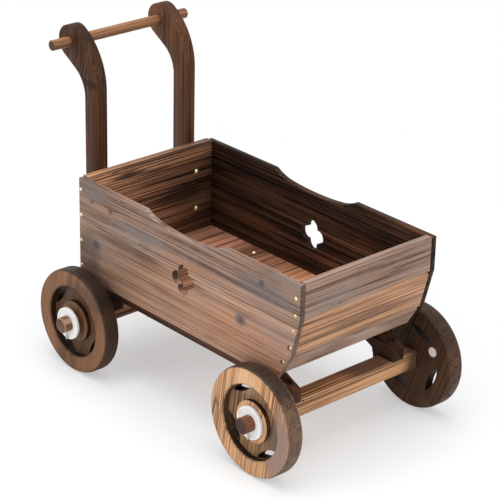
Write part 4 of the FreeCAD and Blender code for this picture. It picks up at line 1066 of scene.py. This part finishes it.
@dataclass
class Fittings:
    """Screws, bolts, nuts, pins, hub washers and the blank label.

    Attributes:
        shop: The workshop.
        arm_length: Half the length of the cross in a screw's head, in metres.
        arm_width: Half the width of its arms.
        cross_depth: How deep the cross is cut.
        cross_taper: How much smaller the cross is at its bottom.
    """

    shop: Workshop
    arm_length: float = 0.0018
    arm_width: float = 0.00048
    cross_depth: float = 0.0011
    cross_taper: float = 0.62

    def head_ends(self, mesh: Any) -> list[tuple[Vector, float]]:
        """The outer ends of the screws in a mesh of many.

        Args:
            mesh: The mesh; its screws lie along Y and point into the cart.

        Returns:
            The middle of each head's top, and the side it faces, 1 or -1.
        """
        work = bmesh.new()
        work.from_mesh(mesh)
        bmesh.ops.remove_doubles(work, verts=work.verts, dist=2e-6)
        waiting = set(work.verts)
        ends = []
        while waiting:
            front = [waiting.pop()]
            corners = list(front)
            while front:
                for edge in front.pop().link_edges:
                    for end in edge.verts:
                        if end in waiting:
                            waiting.remove(end)
                            front.append(end)
                            corners.append(end)
            middle = [(min(c.co[i] for c in corners) + max(c.co[i] for c in corners)) / 2 for i in (0, 2)]
            side = 1.0 if sum(c.co.y for c in corners) > 0 else -1.0
            top = max(c.co.y * side for c in corners) * side
            ends.append((Vector((middle[0], top, middle[1])), side))
        work.free()
        return ends

    def cross_cutter(self, ends: list[tuple[Vector, float]]) -> Any:
        """One object with a tapered cross for each screw head."""
        long, wide = self.arm_length, self.arm_width
        outline = [(long, wide), (wide, wide), (wide, long), (-wide, long), (-wide, wide), (-long, wide),
                   (-long, -wide), (-wide, -wide), (-wide, -long), (wide, -long), (wide, -wide), (long, -wide)]
        work = bmesh.new()
        for top, side in ends:
            rings = []
            for lift, scale in ((self.cross_depth, 1.0), (-self.cross_depth, self.cross_taper)):
                rings.append([work.verts.new(top + Vector((u * scale, lift * side, v * scale)))
                              for u, v in outline])
            count = len(outline)
            for index in range(count):
                after = (index + 1) % count
                work.faces.new((rings[0][index], rings[0][after], rings[1][after], rings[1][index]))
            work.faces.new(rings[0])
            work.faces.new(rings[1])
        bmesh.ops.recalc_face_normals(work, faces=work.faces)
        mesh = bpy.data.meshes.new("cross_cutter")
        work.to_mesh(mesh)
        work.free()
        cutter = bpy.data.objects.new("cross_cutter", mesh)
        bpy.context.scene.collection.objects.link(cutter)
        return cutter

    def crossed(self, node: str, material: Any) -> None:
        """Stand screws with a cross cut into their heads for a node's plain ones.

        Args:
            node: The solid's name.
            material: Their finish.
        """
        mesh = self.shop.frame["nodes"][node].data.copy()
        mesh.materials.clear()
        cutter = self.cross_cutter(self.head_ends(mesh))
        blank = bpy.data.objects.new(node + "_blank", mesh)
        bpy.context.scene.collection.objects.link(blank)
        cut = blank.modifiers.new("cross", "BOOLEAN")
        cut.operation = "DIFFERENCE"
        cut.solver = "EXACT"
        cut.object = cutter
        bpy.context.view_layer.update()
        graph = bpy.context.evaluated_depsgraph_get()
        done = bpy.data.meshes.new_from_object(blank.evaluated_get(graph))
        bpy.data.objects.remove(blank)
        bpy.data.objects.remove(cutter)
        done.materials.clear()
        done.materials.append(material)
        for edge_face in done.polygons:
            edge_face.use_smooth = True
        done.set_sharp_from_angle(angle=math.radians(self.shop.sharp))
        piece = self.shop.placed(node, done, "_crossed")
        LOG.info("%s: %d faces", piece.name, len(done.polygons))

    def build(self) -> None:
        """Dress every small fitting."""
        brass = MetalFinish("bright_brass", srgb(240, 222, 186), srgb(170, 138, 92), 0.4).build()
        zinc = MetalFinish("zinc_plate", srgb(190, 190, 188), srgb(120, 118, 114), 0.34).build()
        white = PlasticFinish("white_plastic", srgb(240, 240, 238), srgb(170, 160, 148), 0.3).build()
        label = PlasticFinish("label_film", srgb(238, 238, 235), srgb(196, 192, 184), 0.5).build()
        for node in ("front_screws", "rear_screws"):
            self.crossed(node, brass)
        for node in ("handle_post_bolts", "floor_bolts"):
            self.shop.dress(node, brass)
        for node in ("handle_post_washers", "handle_post_nuts", "floor_bolt_nuts",
                     "arm_beam_screws", "arm_rail_screws", "axle_pins"):
            self.shop.dress(node, zinc)
        for end in ("rear", "front"):
            for side in ("right", "left"):
                self.shop.dress("%s_%s_hub_washer" % (end, side), white)
        self.shop.dress("wheel_label", label)


# ---------------------------------------------------------------------------
# Studio
# ---------------------------------------------------------------------------
@dataclass
class Studio:
    """Floor, lamps, white surroundings and the camera.

    Attributes:
        eye: The camera's place, in metres.
        azimuth: The way it looks, in degrees.
        elevation: How far it looks down, in degrees.
        roll: Its roll, in degrees.
        focal_pixels: Focal length in pixels of a picture that is 500 pixels wide.
        picture: Width of that picture.
        sensor: Width of the sensor, in millimetres.
        floor_half: Half the width of the floor, in metres.
        ambient: Strength of the even light from all round.
        shadow_reach: How far from the middle the floor shows shadows, in metres.
        glow: How white the floor is by itself near the cart.
    """

    eye: Vector = field(default_factory=lambda: Vector((2.16251, -1.93478, 1.55386)))
    azimuth: float = 47.807
    elevation: float = 24.496
    roll: float = 1.3265
    focal_pixels: float = 2017.67
    picture: float = 500.0
    sensor: float = 36.0
    floor_half: float = 14.0
    ambient: float = 0.62
    shadow_reach: float = 1.3
    glow: float = 0.42

    def camera(self) -> None:
        """Set the camera where the picture was taken."""
        around, down = math.radians(self.azimuth), math.radians(self.elevation)
        tilt = math.radians(self.roll)
        ahead = Vector((-math.sin(around) * math.cos(down), math.cos(around) * math.cos(down),
                        -math.sin(down)))
        level = ahead.cross(Vector((0, 0, 1))).normalized()
        upright = level.cross(ahead)
        right = level * math.cos(tilt) + upright * math.sin(tilt)
        above = upright * math.cos(tilt) - level * math.sin(tilt)
        data = bpy.data.cameras.new("studio_camera")
        data.sensor_width = self.sensor
        data.lens = self.focal_pixels / self.picture * self.sensor
        data.clip_end = 60.0
        camera = bpy.data.objects.new("studio_camera", data)
        rows = Matrix((right, above, -ahead)).transposed().to_4x4()
        rows.translation = self.eye
        camera.matrix_world = rows
        bpy.context.scene.collection.objects.link(camera)
        bpy.context.scene.camera = camera

    def lamp(self, name: str, place: Vector, aim: Vector, width: float, power: float) -> None:
        """Add one soft square lamp.

        Args:
            name: Its name.
            place: Where it stands.
            aim: What it points at.
            width: Its width.
            power: Its power, in watts.
        """
        data = bpy.data.lights.new(name, "AREA")
        data.size = width
        data.energy = power
        lamp = bpy.data.objects.new(name, data)
        lamp.location = place
        lamp.rotation_euler = (aim - place).to_track_quat("-Z", "Y").to_euler()
        bpy.context.scene.collection.objects.link(lamp)

    def surroundings(self) -> None:
        """Even light from all round, with plain white for what sees it directly."""
        world = bpy.data.worlds.new("studio")
        bpy.context.scene.world = world
        world.use_nodes = True
        tree = world.node_tree
        tree.nodes.clear()
        path = tree.nodes.new("ShaderNodeLightPath")
        seen = path.outputs["Is Camera Ray"]
        for name in ("Is Glossy Ray", "Is Transmission Ray"):
            either = tree.nodes.new("ShaderNodeMath")
            either.operation = "MAXIMUM"
            tree.links.new(seen, either.inputs[0])
            tree.links.new(path.outputs[name], either.inputs[1])
            seen = either.outputs[0]
        even = tree.nodes.new("ShaderNodeBackground")
        even.inputs["Strength"].default_value = self.ambient
        even.inputs["Color"].default_value = (1.0, 1.0, 1.0, 1.0)
        white = tree.nodes.new("ShaderNodeBackground")
        white.inputs["Strength"].default_value = 1.0
        white.inputs["Color"].default_value = (1.0, 1.0, 1.0, 1.0)
        either = tree.nodes.new("ShaderNodeMixShader")
        output = tree.nodes.new("ShaderNodeOutputWorld")
        tree.links.new(seen, either.inputs[0])
        tree.links.new(even.outputs[0], either.inputs[1])
        tree.links.new(white.outputs[0], either.inputs[2])
        tree.links.new(either.outputs[0], output.inputs[0])

    def floor(self) -> None:
        """A wide pale floor that keeps the cart's shadow."""
        mesh = bpy.data.meshes.new("studio_floor")
        half = self.floor_half
        corners = [(-half, -half, 0), (half, -half, 0), (half, half, 0), (-half, half, 0)]
        mesh.from_pydata(corners, [], [(0, 1, 2, 3)])
        floor = bpy.data.objects.new("studio_floor", mesh)
        floor.location.z = -0.0005
        bpy.context.scene.collection.objects.link(floor)
        graph = Graph("studio_floor_paint")
        tree = graph.tree
        graph.finish(Base_Color=(0.915, 0.93, 0.935), Roughness=0.9, Specular_IOR_Level=0.0)
        glow = graph.node("ShaderNodeEmission", {}, {"Color": (1.0, 1.0, 1.0), "Strength": 1.0})
        path = graph.node("ShaderNodeLightPath", {}, {})
        x, y, _ = graph.split(graph.node("ShaderNodeTexCoord", {}, {}).outputs["Object"])
        away = (x * x + y * y).root().smooth(self.shadow_reach * 0.4, self.shadow_reach)
        share = Value(graph, path.outputs["Is Camera Ray"]) * (away * (1.0 - self.glow) + self.glow)
        blend = graph.node("ShaderNodeMixShader", {}, {0: share})
        tree.links.new(graph.shader.outputs[0], blend.inputs[1])
        tree.links.new(glow.outputs[0], blend.inputs[2])
        tree.links.new(blend.outputs[0], tree.nodes["Material Output"].inputs[0])
        mesh.materials.append(graph.material)

    def build(self) -> None:
        """Set up the whole studio."""
        bpy.context.scene.view_settings.view_transform = "Standard"
        self.camera()
        self.surroundings()
        self.floor()
        middle = Vector((0.0, 0.0, 0.25))
        self.lamp("top_softbox", Vector((0.1, -0.2, 2.8)), middle, 2.2, 42.0)
        self.lamp("side_softbox", Vector((-0.6, -2.4, 1.7)), middle, 1.6, 20.0)
        self.lamp("front_softbox", Vector((2.6, 0.5, 1.5)), middle, 1.6, 16.0)
        LOG.info("studio ready")


def main() -> None:
    """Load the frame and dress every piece."""
    logging.basicConfig(level=logging.INFO, format="%(name)s: %(message)s")
    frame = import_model()
    Studio().build()
    shop = Workshop(frame)
    sections: tuple[tuple[str, Callable[[], None]], ...] = (
        ("planter box", PlanterBox(shop).build),
        ("handle", Handle(shop).build),
        ("undercarriage", Undercarriage(shop).build),
        ("fittings", Fittings(shop).build),
    )
    for name, build in sections:
        build()
        LOG.info("%s finished", name)


if __name__ == "__main__":
    main()
